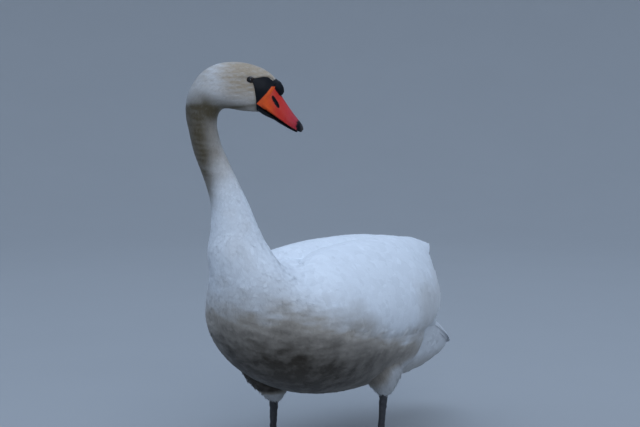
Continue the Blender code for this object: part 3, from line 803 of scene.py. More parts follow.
def grow_blades(coat, path, across, normal, half_width, area, root, kind="blade"):
    """Long flight feathers along free paths: blades x steps x 3, with a width direction and a normal.

    A blade's point is path + v * half width * profile(u) * across + height * normal, where the height
    falls off from the shaft with v squared and carries a raised shaft along the middle.
    """
    count = len(path)
    u, v = np.linspace(0, 1, path.shape[1]), np.linspace(-1, 1, 7)
    down, over_it = u[None, :, None], v[None, None, :]
    rag = coat.draw.normal(size=(count, 1, len(v))) * 0.01
    run = np.gradient(path, axis=1)
    length = np.linalg.norm(run, axis=-1).sum(axis=1)
    wide = half_width * vane_profile(kind, u)[None, :, None] * over_it
    height = -0.0012 * over_it**2 + 0.0006 * (1 - np.abs(over_it)) ** 4 * (1 - 0.7 * down)
    points = (
        path[:, :, None]
        + wide[..., None] * across[:, :, None]
        + height[..., None] * normal[:, :, None]
        + (rag * per_vane(length) * down**6)[..., None] * unit(run)[:, :, None]
    )
    tone = 0.5 + 0.10 * coat.draw.normal(size=count)
    outward = np.broadcast_to(normal[:, :, None], points.shape)
    coat.add(points, vane_map(u, v), bake_place(area, *root.T), tone, outward, 0.3)


# ---------------------------------------------------------------- settings a user would change


def length_setting(name, description, default):
    return bpy.props.FloatProperty(
        name=name, description=description, default=default, min=0.0, unit="LENGTH", precision=4
    )


def colour_setting(name, description, default):
    return bpy.props.FloatVectorProperty(
        name=name, description=description, default=default, size=3, min=0, max=1, subtype="COLOR"
    )


def angle_setting(name, description, degrees):
    return bpy.props.FloatProperty(
        name=name, description=description, default=math.radians(degrees), subtype="ANGLE"
    )


class SwanPlumageSettings(bpy.types.PropertyGroup):
    """Colours of the feathers and the down, and the size of the skin's cells."""

    white: colour_setting("White", "Clean plumage", (0.80, 0.83, 0.87))
    buff: colour_setting("Buff", "Stain of the crown and cheeks", (0.45, 0.360, 0.262))
    # The neck's dark colour below also stands for painted shade under the head.
    olive: colour_setting("Olive", "Stain of the upper neck", (0.086, 0.066, 0.035))
    # The belly's two colours below also stand for painted shade on the breast, flanks and belly.
    dust: colour_setting("Dust", "Light soiling of the breast and flanks", (0.390, 0.348, 0.300))
    soil: colour_setting("Soil", "Deep soiling of the belly", (0.032, 0.022, 0.012))
    down: colour_setting("Down", "The skin's down, deep between the feathers", (0.62, 0.62, 0.60))
    skin_cell: length_setting("Skin cell", "Size of the skin's mesh cells", 0.004)


class SwanBareSettings(bpy.types.PropertyGroup):
    """Colours of the bill, the bare face and the eyes."""

    bill_base: colour_setting("Bill base", "Horn next to the lores", (0.92, 0.130, 0.022))
    bill_middle: colour_setting("Bill middle", "Horn at the nostrils", (0.63, 0.036, 0.022))
    bill_tip: colour_setting("Bill tip", "Horn next to the nail", (0.40, 0.034, 0.058))
    black: colour_setting("Black skin", "Lores, knob and edges of the bill", (0.006, 0.007, 0.010))
    iris: colour_setting("Iris", "Very dark brown", (0.022, 0.011, 0.007))


class SwanStageSettings(bpy.types.PropertyGroup):
    """The floor's colour and the camera."""

    floor: colour_setting("Floor", "Plain pale floor", (0.40, 0.41, 0.42))
    distance: length_setting("Camera distance", "From the camera to the bird's middle", 2.85)
    azimuth: angle_setting("Azimuth", "Camera's turn round the bird", 35)
    elevation: angle_setting("Elevation", "Camera's rise", 5.8)
    field: angle_setting("Field of view", "Across the image", 24.8)


# ---------------------------------------------------------------- material helpers


class Nodes:
    """Short ways to add and link nodes in one tree."""

    def __init__(self, tree):
        self.tree = tree

    def add(self, kind, inputs=None, **settings):
        node = self.tree.nodes.new(kind)
        for key, value in settings.items():
            setattr(node, key, value)
        for key, value in (inputs or {}).items():
            self.put(value, node.inputs[key])
        return node

    def put(self, value, socket):
        if isinstance(value, bpy.types.NodeSocket):
            self.tree.links.new(value, socket)
        else:
            socket.default_value = value

    def math(self, operation, a, b=0.0, clamp=False):
        node = self.add("ShaderNodeMath", {0: a, 1: b}, operation=operation, use_clamp=clamp)
        return node.outputs[0]

    def times(self, a, b, clamp=False):
        return self.math("MULTIPLY", a, b, clamp)

    def place_on(self):
        return self.add("ShaderNodeTexCoord").outputs["Object"]

    def attribute(self, name, output="Fac"):
        return self.add("ShaderNodeAttribute", attribute_name=name).outputs[output]

    def parts(self, vector):
        return self.add("ShaderNodeSeparateXYZ", {0: vector}).outputs

    def mix(self, factor, a, b, blend="MIX"):
        settings = {0: factor, 6: a, 7: b}
        return self.add("ShaderNodeMix", settings, data_type="RGBA", blend_type=blend).outputs[2]

    def noise(self, vector, scale, detail=3.0, roughness=0.55):
        settings = {"Vector": vector, "Scale": scale, "Detail": detail, "Roughness": roughness}
        return self.add("ShaderNodeTexNoise", settings).outputs["Fac"]

    def spread(self, value, low, high, to_low=0.0, to_high=1.0):
        """The value's range from low to high, stretched smoothly to another one."""
        settings = {0: value, 1: low, 2: high, 3: to_low, 4: to_high}
        return self.add("ShaderNodeMapRange", settings, interpolation_type="SMOOTHSTEP").outputs[0]


def four(colour):
    return (*colour, 1.0)


COLOUR, NUMBER = "NodeSocketColor", "NodeSocketFloat"


def node_group(name, inputs, outputs):
    """An empty shader group with its sockets, and the Nodes to fill it with."""
    tree = bpy.data.node_groups.new(name, "ShaderNodeTree")
    for label, default in inputs.items():
        kind = COLOUR if isinstance(default, tuple) else NUMBER
        tree.interface.new_socket(name=label, in_out="INPUT", socket_type=kind).default_value = default
    for label, kind in outputs.items():
        tree.interface.new_socket(name=label, in_out="OUTPUT", socket_type=kind)
    nodes = Nodes(tree)
    return tree, nodes, nodes.add("NodeGroupInput").outputs, nodes.add("NodeGroupOutput").inputs


def plumage_group():
    """Feather colour from its markings and tone, with soft mottling, and barbs as a height."""
    found = bpy.data.node_groups.get("plumage")
    if found:
        return found
    inputs = {
        "White": four((0.9, 0.9, 0.9)),
        "Buff": four((0.5, 0.4, 0.3)),
        "Olive": four((0.3, 0.3, 0.2)),
        "Dust": four((0.4, 0.3, 0.2)),
        "Soil": four((0.2, 0.2, 0.1)),
        "Barbs": 1.0,
        "Barb Count": 60.0,
    }
    outputs = {"Color": COLOUR, "Height": NUMBER, "Roughness": NUMBER}
    tree, nodes, given, result = node_group("plumage", inputs, outputs)
    place_on = nodes.place_on()
    marks = nodes.parts(nodes.attribute("marks", "Vector"))
    tone = nodes.attribute("tone")
    broad = nodes.noise(place_on, 38.0, 4.0)
    fine = nodes.noise(place_on, 420.0, 3.0, 0.65)
    # The belly's mark holds stain and painted shade: light amounts go towards the first of its colours, deep
    # ones on to the second.
    dirt_and_shade = nodes.times(marks[2], nodes.spread(broad, 0.28, 0.72, 0.90, 1.06), True)
    shade = nodes.mix(marks[0], given["White"], given["Buff"])
    shade = nodes.mix(marks[1], shade, given["Olive"])
    shade = nodes.mix(nodes.times(dirt_and_shade, 2.0, True), shade, given["Dust"])
    deep = nodes.math("SUBTRACT", nodes.times(dirt_and_shade, 2.0), 1.0, True)
    shade = nodes.mix(deep, shade, given["Soil"])
    lightness = nodes.math("ADD", nodes.times(tone, 0.30), 0.85)
    lightness = nodes.times(lightness, nodes.spread(fine, 0.25, 0.75, 0.965, 1.02))
    grey = nodes.add("ShaderNodeCombineColor", {i: lightness for i in range(3)}).outputs[0]
    shade = nodes.mix(1.0, shade, grey, "MULTIPLY")
    # The barbs run slantwise off the shaft, as waves over the vane's own map.
    surface = nodes.parts(nodes.add("ShaderNodeUVMap", uv_map="surface").outputs[0])
    off_shaft = nodes.math("ABSOLUTE", nodes.math("SUBTRACT", surface[1], 0.5))
    slant = nodes.math("SUBTRACT", surface[0], nodes.times(off_shaft, 0.55))
    wave = nodes.math("SINE", nodes.times(slant, nodes.times(given["Barb Count"], 6.283)))
    barbs = nodes.times(wave, nodes.times(given["Barbs"], 0.35))
    nodes.put(shade, result["Color"])
    nodes.put(nodes.math("ADD", barbs, nodes.times(fine, 0.8)), result["Height"])
    nodes.put(nodes.spread(fine, 0.2, 0.8, 0.62, 0.78), result["Roughness"])
    return tree


def grain_group():
    """Fine grain for bare skin and horn: a mask, a height and a roughness from two sizes of noise."""
    found = bpy.data.node_groups.get("fine_grain")
    if found:
        return found
    inputs = {"Scale": 300.0, "Low Roughness": 0.3, "High Roughness": 0.5}
    outputs = {"Mask": NUMBER, "Height": NUMBER, "Roughness": NUMBER}
    tree, nodes, given, result = node_group("fine_grain", inputs, outputs)
    place_on = nodes.place_on()
    broad = nodes.noise(place_on, nodes.times(given["Scale"], 0.16), 3.0)
    fine = nodes.noise(place_on, given["Scale"], 4.0, 0.6)
    both = nodes.math("ADD", nodes.times(broad, 0.6), nodes.times(fine, 0.4))
    spread = nodes.spread(both, 0.3, 0.7)
    span = nodes.math("SUBTRACT", given["High Roughness"], given["Low Roughness"])
    rough = nodes.math("ADD", given["Low Roughness"], nodes.times(spread, span))
    for name, value in (("Mask", spread), ("Height", fine), ("Roughness", rough)):
        nodes.put(value, result[name])
    return tree


class Finish:
    """A new material: its nodes, and its shader's inputs."""

    def __init__(self, name):
        self.made = bpy.data.materials.new(name)
        self.made.use_nodes = True
        self.nodes = Nodes(self.made.node_tree)
        self.shader = self.made.node_tree.nodes["Principled BSDF"].inputs

    def use(self, tree, inputs):
        """The outputs of a shader group, placed with these inputs."""
        return self.nodes.add("ShaderNodeGroup", inputs, node_tree=tree).outputs

    def grain(self, scale, low, high):
        """Fine grain of that scale, which sets the roughness between low and high."""
        inputs = {"Scale": scale, "Low Roughness": low, "High Roughness": high}
        grain = self.use(grain_group(), inputs)
        self.nodes.put(grain["Roughness"], self.shader["Roughness"])
        return grain

    def finish(self, shade, height=None, distance=0.0003, strength=0.5, **constants):
        """Colour, bump and constant settings, such as Specular_IOR_Level=0.3."""
        self.nodes.put(shade, self.shader["Base Color"])
        if height is not None:
            settings = {"Height": height, "Distance": distance, "Strength": strength}
            self.nodes.put(self.nodes.add("ShaderNodeBump", settings).outputs[0], self.shader["Normal"])
        for name, value in constants.items():
            self.shader[name.replace("_", " ")].default_value = value
        return self.made


def plumage_material(name, barbs, barb_count, white=None):
    """The plumage's colours and markings, with barbs so deep and so many to a vane."""
    found = bpy.data.materials.get(name)
    if found:
        return found
    look = bpy.context.scene.swan_plumage
    made = Finish(name)
    stains = ("Buff", "Olive", "Dust", "Soil")
    inputs = {"White": four(white or look.white), "Barbs": barbs, "Barb Count": barb_count}
    inputs |= {stain: four(getattr(look, stain.lower())) for stain in stains}
    feather = made.use(plumage_group(), inputs)
    made.nodes.put(feather["Roughness"], made.shader["Roughness"])
    return made.finish(
        feather["Color"], feather["Height"], 0.0004,
        Specular_IOR_Level=0.25, Sheen_Weight=0.18, Sheen_Roughness=0.5,
    )


def contour_material():
    return plumage_material("contour_feathers", 0.6, 14.0)


def flight_material():
    return plumage_material("flight_feathers", 1.0, 70.0)


def velvet_material():
    return plumage_material("velvet_feathers", 0.3, 5.0)


def horn_material():
    """Bill horn: orange at its base to coral red at its tip, black where `zones` says."""
    found = bpy.data.materials.get("bill_horn")
    if found:
        return found
    look = bpy.context.scene.swan_bare
    made = Finish("bill_horn")
    nodes = made.nodes
    zones = nodes.parts(nodes.attribute("zones", "Vector"))
    grain = made.grain(260.0, 0.30, 0.46)
    mottled = nodes.noise(nodes.place_on(), 90.0, 4.0, 0.6)
    shade = nodes.mix(nodes.spread(zones[0], 0.0, 0.45), four(look.bill_base), four(look.bill_middle))
    shade = nodes.mix(nodes.spread(zones[0], 0.45, 1.0), shade, four(look.bill_tip))
    shade = nodes.mix(nodes.spread(mottled, 0.35, 0.75, 0.0, 0.35), shade, four((0.50, 0.035, 0.036)))
    # Paler coral flecks by the grain: a painted highlight.
    shade = nodes.mix(nodes.times(grain["Mask"], 0.10), shade, four((0.74, 0.12, 0.10)))
    shade = nodes.mix(zones[1], shade, four(look.black))
    shade = nodes.mix(nodes.times(zones[2], 0.6), shade, four((0.10, 0.085, 0.085)))
    return made.finish(shade, grain["Height"], Specular_IOR_Level=0.13)


def black_material():
    """Matt to satin black skin with a soft grain, a little lighter where it is worn."""
    found = bpy.data.materials.get("black_skin")
    if found:
        return found
    made = Finish("black_skin")
    grain = made.grain(420.0, 0.42, 0.62)
    black = four(bpy.context.scene.swan_bare.black)
    shade = made.nodes.mix(made.nodes.times(grain["Mask"], 0.30), black, four((0.020, 0.022, 0.026)))
    return made.finish(shade, grain["Height"], strength=0.6, Specular_IOR_Level=0.12)


def leg_material():
    """The plain dark skin that loads on the solids' hind toes, for the legs and webs to match them."""
    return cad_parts["hind_toe_left"].material_slots[0].material


def claw_material():
    """Near-black horn, mottled lighter."""
    made = Finish("claw_horn")
    grain = made.grain(380.0, 0.25, 0.45)
    shade = made.nodes.mix(grain["Mask"], four((0.010, 0.010, 0.011)), four((0.045, 0.042, 0.038)))
    return made.finish(shade, grain["Height"], strength=0.4)


def eye_material():
    """Dark iris round a black pupil, under a wet clear surface. `gaze` is 1 at the pupil's middle."""
    made = Finish("eyeball")
    nodes = made.nodes
    gaze = nodes.attribute("gaze")
    rays = nodes.times(nodes.noise(nodes.place_on(), 900.0, 3.0), 0.6)
    iris = nodes.mix(rays, four(bpy.context.scene.swan_bare.iris), four((0.060, 0.028, 0.014)))
    shade = nodes.mix(nodes.spread(gaze, 0.86, 0.90), iris, four((0.002, 0.002, 0.002)))
    shade = nodes.mix(nodes.spread(gaze, 0.30, 0.22), shade, four((0.05, 0.045, 0.04)))
    return made.finish(shade, Roughness=0.06, Coat_Weight=0.3, Coat_Roughness=0.02)


# ---------------------------------------------------------------- the skin


COAT_SIZES = {
    # Along the body by ring number: length, half width, spacing and depth of the vanes.
    "s": (0.0, 3.0, 7.0, 10.0, 11.0, 12.0, 14.0, 16.0, 18.0, 20.0, 23.0, 26.0, 28.0),
    "length": (
        0.034, 0.042, 0.042, 0.036, 0.029, 0.023, 0.018, 0.0155, 0.0135, 0.012, 0.0098, 0.0072, 0.0052,
    ),
    "half": (
        0.0105, 0.0110, 0.0105, 0.0086, 0.0064, 0.0047, 0.0034, 0.0028, 0.0024, 0.0021, 0.0017,
        0.0013, 0.0010,
    ),
    "gap": (
        0.0080, 0.0080, 0.0076, 0.0067, 0.0055, 0.0044, 0.0035, 0.0030, 0.0026, 0.0024, 0.0020,
        0.0016, 0.0013,
    ),
    "depth": (
        0.009, 0.010, 0.010, 0.009, 0.0078, 0.0062, 0.0048, 0.0040, 0.0034, 0.0029, 0.0023, 0.0018, 0.0013,
    ),
}


def coat_size(kind, s):
    return np.interp(s, COAT_SIZES["s"], COAT_SIZES[kind])


def skin_parts():
    """Closed tubes inside each form, by the depth of its coat."""
    s = np.linspace(0, BODY_END, 140)
    yield tube(BODY.rings(s, 72, coat_size("depth", s) + 0.0004))
    for form in WINGS.values():
        yield tube(form.rings(np.linspace(0.6, 9.6, 60), 64, 0.007))
    s = np.linspace(0, 5.0, 40)
    yield tube(TAIL.rings(s, 64, np.interp(s, (0, 2, 4, 5), (0.012, 0.010, 0.004, 0.002))))
    yield tube(RUMP.rings(np.linspace(0, 6.5, 48), 48, 0.007))
    for form in THIGHS.values():
        yield tube(form.rings(np.linspace(0, 4.3, 30), 48, 0.006))


class SWAN_OT_skin(bpy.types.Operator):
    """Joins the inner forms of body, wings, tail and thighs into one skin under the plumage."""

    bl_idname = "swan.skin"
    bl_label = "Skin"

    def execute(self, context):
        points, faces = join_parts(skin_parts())
        material = plumage_material("down", 0.0, 1.0, context.scene.swan_plumage.down)
        rough = make_mesh("skin_forms", points, faces, material)
        join = rough.modifiers.new("join", "REMESH")
        join.mode = "VOXEL"
        join.voxel_size = context.scene.swan_plumage.skin_cell
        soften = rough.modifiers.new("soften", "SMOOTH")
        soften.iterations = 4
        context.view_layer.update()
        mesh = bpy.data.meshes.new_from_object(rough.evaluated_get(context.evaluated_depsgraph_get()))
        bpy.data.objects.remove(rough)
        points = np.empty(len(mesh.vertices) * 3, np.float32)
        mesh.vertices.foreach_get("co", points)
        points = points.reshape(-1, 3).astype(float)
        put_values(mesh, "marks", markings(points))
        put_values(mesh, "tone", 0.5 + 0.15 * waves(points, 0.03, 11))
        mesh.shade_smooth()
        mesh.name = "skin"
        skin = add_piece("skin", mesh)
        flesh = ["trunk", "neck_lower", "neck_middle", "neck_upper", "head", "tail"]
        flesh += [f"{node}_{side}" for node in ("wing", "primaries", "thigh") for side in SIDES]
        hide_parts(*flesh)
        return {"FINISHED"}


# ---------------------------------------------------------------- the coat


def under_wing(points, margin):
    """Whether points lie under a folded wing by at least margin, inside its edges seen from the side."""
    rows = smooth_rows(WINGS["left"].rows, np.linspace(0, 10, 80))
    forward, low, top = forward_of(rows[:, 0:3])[::-1], rows[::-1, 5], rows[::-1, 0]
    f = forward_of(points)
    inside = (f > forward[0] + margin) & (f < forward[-1] - margin)
    inside &= points[..., 2] > np.interp(f, forward, low) + margin
    return inside & (np.abs(points[..., 0]) > np.interp(f, forward, top) + 0.3 * margin)


AXIS_HEIGHT = 0.30


def wing_reach():
    """How far a folded wing's outer face is from the bird's long axis, by forward place and turn.

    The turn is counted from straight up. Off the wing the reach is -1.
    """
    s, t = np.meshgrid(np.linspace(0, 10, 121), np.linspace(0, math.pi, 120), indexing="ij")
    points = WINGS["left"].inside(s, t)
    forward, turns = forward_of(points)[:, 0], np.linspace(0, math.pi, 181)
    turn = np.arctan2(points[..., 0], points[..., 2] - AXIS_HEIGHT)
    reach = np.hypot(points[..., 0], points[..., 2] - AXIS_HEIGHT)
    out = np.array([np.interp(turns, a, b, -1, -1) for a, b in zip(turn, reach)])
    return forward[::-1], turns, out[::-1]


WING_REACH = wing_reach()


def over_wing(points):
    """Points moved straight out from the bird's long axis to the wing's outer face, where that is beyond."""
    forward, turns, out = WING_REACH
    away = points[..., ::2] - np.array([0, AXIS_HEIGHT])
    reach = np.linalg.norm(away, axis=-1)
    turn = np.arctan2(np.abs(away[..., 0]), away[..., 1])
    i = np.interp(forward_of(points), forward, np.arange(len(forward)), -1, -1)
    j = np.interp(turn, turns, np.arange(len(turns)))
    low_i, low_j = (np.clip(k.astype(int), 0, size - 2) for k, size in zip((i, j), out.shape))
    a, b = np.clip(i - low_i, 0, 1), np.clip(j - low_j, 0, 1)
    near = out[low_i, low_j] * (1 - b) + out[low_i, low_j + 1] * b
    far = out[low_i + 1, low_j] * (1 - b) + out[low_i + 1, low_j + 1] * b
    face = np.where(i < 0, -1, near * (1 - a) + far * a)
    more = (np.maximum(face / np.maximum(reach, 1e-6), 1) - 1)[..., None] * away
    moved = points.copy()
    moved[..., 0] += more[..., 0]
    moved[..., 2] += more[..., 1]
    return moved


def polygon_distance(along, up, corners):
    """Signed distance in the head's plane to a closed outline: negative inside it."""
    p = np.stack([along, up], axis=-1)[..., None, :]
    a = np.asarray(corners, float)
    b = np.roll(a, -1, axis=0)
    edge = b - a
    share = np.clip(((p - a) * edge).sum(-1) / (edge**2).sum(-1), 0, 1)
    nearest = np.linalg.norm(p - a - share[..., None] * edge, axis=-1).min(axis=-1)
    crosses = (a[:, 1] > p[..., 1]) != (b[:, 1] > p[..., 1])
    height = np.where(b[:, 1] == a[:, 1], 1e-9, b[:, 1] - a[:, 1])
    reach = a[:, 0] + (p[..., 1] - a[:, 1]) / height * (b[:, 0] - a[:, 0])
    inside = (crosses & (p[..., 0] < reach)).sum(axis=-1) % 2 == 1
    return np.where(inside, -nearest, nearest)


# The bare face in the head's plane (along, up): rear edge downwards from the eye, and on top of it.
FACE_REAR = (
    (0.0925, 0.0905), (0.0980, 0.0878), (0.1010, 0.0800), (0.1028, 0.0700), (0.1037, 0.0600),
    (0.1034, 0.0530), (0.1028, 0.0440),
)
FACE_TOP = (
    (0.0925, 0.0945), (0.1040, 0.0952), (0.1160, 0.0974), (0.1260, 0.0972), (0.1330, 0.0932),
    (0.1450, 0.0830),
)
FACE_OUTLINE = (
    *FACE_TOP, (0.1600, 0.0700), (0.1200, 0.0330), (0.1100, 0.0335), (0.1040, 0.0380), *FACE_REAR[::-1]
)
EYE_PLACE = np.array([0.0936, 0.0928])


def grow_body(s_range, t_range, seed, keep=None, columns=5, rows=6, kind="vane"):
    """Contour feathers over part of the body, sized by where they root, but for what the wings cover."""
    coat = Coat(seed)
    s, t = scatter(BODY, s_range, t_range, lambda at: coat_size("gap", at), seed)
    points = BODY.points(s, t)
    shown = ~under_wing(points, 0.022)
    if keep:
        shown &= keep(points)
    s, t, points = s[shown], t[shown], points[shown]
    clump = waves(points * np.array([1, 1, 1.8]), 0.035, seed + 50)
    depth = coat_size("depth", s)
    length = coat_size("length", s) * (1 + 0.14 * coat.vary(s))
    half = coat_size("half", s)
    grow_vanes(
        coat, BODY, s, t, length, half * (1 + 0.12 * coat.vary(s)), "body",
        turn=0.16 * coat.vary(s) * 0.5 + 0.10 * clump, depth=depth,
        lift=depth * (0.02 + 0.03 * clump + 0.012 * coat.vary(s)), cup=half * 0.04,
        bend=0.05 * coat.vary(s), ragged=0.035, over=over_wing, columns=columns, rows=rows, kind=kind,
    )
    return coat


def head_keep(points):
    """Where the head is feathered: off the bare face, behind the bill, and clear of the eyes."""
    along, up, _ = head_terms(points)
    off_face = polygon_distance(along, up, FACE_OUTLINE)
    to_eye = np.hypot(along - EYE_PLACE[0], up - EYE_PLACE[1])
    return (off_face > 0.0009) & (to_eye > 0.0050)


class SWAN_OT_body_coat(bpy.types.Operator):
    """Contour feathers of the rump, breast, belly and flanks, with fine loose barbs over them."""

    bl_idname = "swan.body_coat"
    bl_label = "Body feathers"

    def execute(self, context):
        soft = contour_material()
        rump = Coat(25)
        s, t = scatter(RUMP, (0.6, 6.6), (-2.0, 2.0), 0.0105, 26)
        size = 1 + 0.10 * rump.vary(s)
        grow_vanes(
            rump, RUMP, s, t, 0.046 * size, 0.0125, "rump", lie=1, depth=0.006, lift=0.0012 * size,
            turn=0.08 * rump.vary(s), rows=7, columns=5, ragged=0.03,
        )
        rump.make("coat_rump", soft)
        for side, t_range in (("left", OUTER_FACE), ("right", INNER_FACE)):
            coat = grow_body((0.7, 11.0), t_range, 21 + SIDES[side])
            s, t = scatter(BODY, (0.7, 11.0), t_range, 0.0052, 31 + SIDES[side])
            shown = ~under_wing(BODY.points(s, t), 0.012)
            s, t = s[shown], t[shown]
            grow_vanes(
                coat, BODY, s, t, 0.014, 0.0010, "body", depth=0.0006, over=over_wing,
                turn=0.30 * coat.vary(s), lift=0.0003 * coat.draw.uniform(size=len(s)),
                cup=0.0, rows=3, columns=2, kind="tuft", tone=0.55, softness=0.97,
            )
            coat.make(f"coat_body_{side}", soft)
        return {"FINISHED"}


class SWAN_OT_neck_coat(bpy.types.Operator):
    """Short dense feathers of the neck."""

    bl_idname = "swan.neck_coat"
    bl_label = "Neck feathers"

    def execute(self, context):
        coat = grow_body((11.0, 18.2), (0, WHOLE_TURN), 5, columns=3, rows=5)
        coat.make("coat_neck", velvet_material())
        return {"FINISHED"}


class SWAN_OT_head_coat(bpy.types.Operator):
    """The smallest feathers, on the head, parted at the eyes and ending at the bare face."""

    bl_idname = "swan.head_coat"
    bl_label = "Head feathers"

    def execute(self, context):
        coat = grow_body((18.2, BODY_END + 0.25), (0, WHOLE_TURN), 6, head_keep, 3, 4, "tuft")
        coat.make("coat_head", velvet_material())
        return {"FINISHED"}


class SWAN_OT_wing_coat(bpy.types.Operator):
    """Coverts, scapulars, tertials and flight feathers of the folded wings."""

    bl_idname = "swan.wing_coat"
    bl_label = "Wing feathers"

    # Each set: range of s and t, spacing, length, half width, depth, lift.
    OUTER_SETS = (
        ((0.0, 4.2), (-0.10, 3.25), 0.0085, 0.032, 0.0110, 0.005, 0.0002),
        ((3.2, 6.4), (-0.10, 3.25), 0.0115, 0.048, 0.0140, 0.004, 0.0002),
        ((5.4, 8.0), (0.10, 3.20), 0.0140, 0.062, 0.0150, 0.003, 0.0003),
        ((1.0, 8.9), (-0.35, 1.10), 0.0125, 0.058, 0.0165, 0.002, 0.0006),
    )
    INNER_SETS = (((6.0, 8.8), (3.60, 5.70), 0.0120, 0.036, 0.0125, 0.002, 0.0003),)

    def execute(self, context):
        soft, long = contour_material(), flight_material()
        for side, form in WINGS.items():
            area = f"wing_{side}"
            flight = Coat(61 + SIDES[side])
            self.flights(flight, form, SIDES[side], area)
            flight.make(f"flight_feathers_{side}", long)
            coat = Coat(71 + SIDES[side])
            self.coverts(coat, form, area, self.OUTER_SETS)
            self.coverts(coat, WING_INSIDES[side], area, self.INNER_SETS)
            coat.make(f"coat_wing_{side}", soft)
        return {"FINISHED"}

    def coverts(self, coat, form, area, sets):
        for index, (s_range, t_range, gap, length, half, depth, lift) in enumerate(sets):
            s, t = scatter(form, s_range, t_range, gap, 80 + index)
            clump = waves(form.points(s, t), 0.06, 90 + index)
            grow_vanes(
                coat, form, s, t, length * (1 + 0.10 * coat.vary(s)), half, area, lie=1,
                turn=0.07 * coat.vary(s) + 0.05 * clump, depth=depth,
                lift=lift + 0.0002 * coat.vary(s) + 0.0003 * clump, cup=0.0004, rows=7, columns=5,
                ragged=0.02, whole_turn=WING_TURN, tone_spread=0.09, ridge=0.0001,
            )

    def flights(self, coat, form, sign, area):
        u = np.linspace(0, 1, 16)[None]
        # Secondaries, from the upper one down, each tucked under the one above.
        share = np.linspace(0, 1, 13)[:, None]
        s_end = 9.75 - 1.75 * share**1.2 + 0.17 * coat.draw.uniform(-1, 1, share.shape)
        s = 4.6 + (s_end - 4.6) * u
        t = 0.55 + 2.40 * share + (0.10 - 0.18 * share) * u**2
        self.lay(coat, form, area, s, t, 0.0175, -0.0012 - 0.0006 * share, 0.06)
        # Tertials over them, along the back.
        share = np.linspace(0, 1, 9)[:, None]
        s = 5.2 + (4.3 - 0.9 * share**1.5) * u
        t = 0.36 + 0.75 * share + 0.05 * u
        self.lay(coat, form, area, s, t, 0.020, -0.0006 - 0.0004 * share, 0.03)
        # Inner tertials, from the wing's upper edge down to the middle over the rump, like a roof.
        share = np.linspace(0, 1, 7)
        start = place(-0.20, sign * (0.018 + 0.062 * share), 0.398 - 0.042 * share)
        tip = place(-0.370 + 0.034 * share, sign * (0.005 + 0.040 * share), 0.374 - 0.088 * share)
        facing_way = own_place(-0.30, sign * 0.55, 0.78)
        self.free(coat, start, tip, facing_way, 0.0185, sign * 0.006, area, "blade")
        # Primaries, past the wing: from under the tertials to their tips over the tail.
        start = place(-0.235, sign * (0.080 - 0.006 * share), 0.292 - 0.024 * share)
        tip = place(-0.408 + 0.060 * share, sign * (0.012 + 0.026 * share), 0.262 - 0.020 * share)
        facing_way = own_place(-0.15, sign * 0.90, 0.45)
        self.free(coat, start, tip, facing_way, 0.0105, sign * 0.010, area, "tuft")

    def free(self, coat, start, tip, facing_way, half, bow, area, kind):
        """Blades from start to tip, bowed outwards by a half sine, one above the other."""
        count = len(start)
        u = np.linspace(0, 1, 16)[None, :, None]
        path = start[:, None] + (tip - start)[:, None] * u + np.sin(math.pi * u) * own_place(0, bow, 0.004)
        run = unit(np.gradient(path, axis=1))
        across = unit(np.cross(unit(facing_way), run))
        normal = unit(np.cross(run, across))
        path = path + normal * per_vane(-0.0009 * np.arange(count))
        root = np.stack([np.full(count, 0.9), np.linspace(0.1, 0.5, count)], axis=1)
        grow_blades(coat, path, across, normal, half, area, root, kind)

    def lay(self, coat, form, area, s, t, half, height, tilt):
        """Blades over the form that follow its curve; their upper long edges dip under the blade above.

        At share u along and v across (-1 to 1), t steps by half * profile(u) * v over the length of
        the slope by t, and the height is height + tilt * half * v - 0.0006 * v * v.
        """
        u, v = np.linspace(0, 1, s.shape[1]), np.linspace(-1, 1, 7)
        _, _, by_t, _ = form.frame(s, t)
        reach = np.minimum(half * vane_profile("blade", u) / np.linalg.norm(by_t, axis=-1), 0.5)
        turned = np.clip(t[..., None] + reach[..., None] * v, -0.12, math.pi + 0.12)
        points, _, _, normal = form.frame(s[..., None] + 0 * v, turned)
        points = points + normal * (height[..., None] + tilt * half * v - 0.0006 * v**2)[..., None]
        root = bake_place(area, s[:, 0] / 10, t[:, 0] / WING_TURN + 1.0)
        coat.add(points, vane_map(u, v), root, 0.5 + 0.10 * coat.vary(s), normal, 0.5)


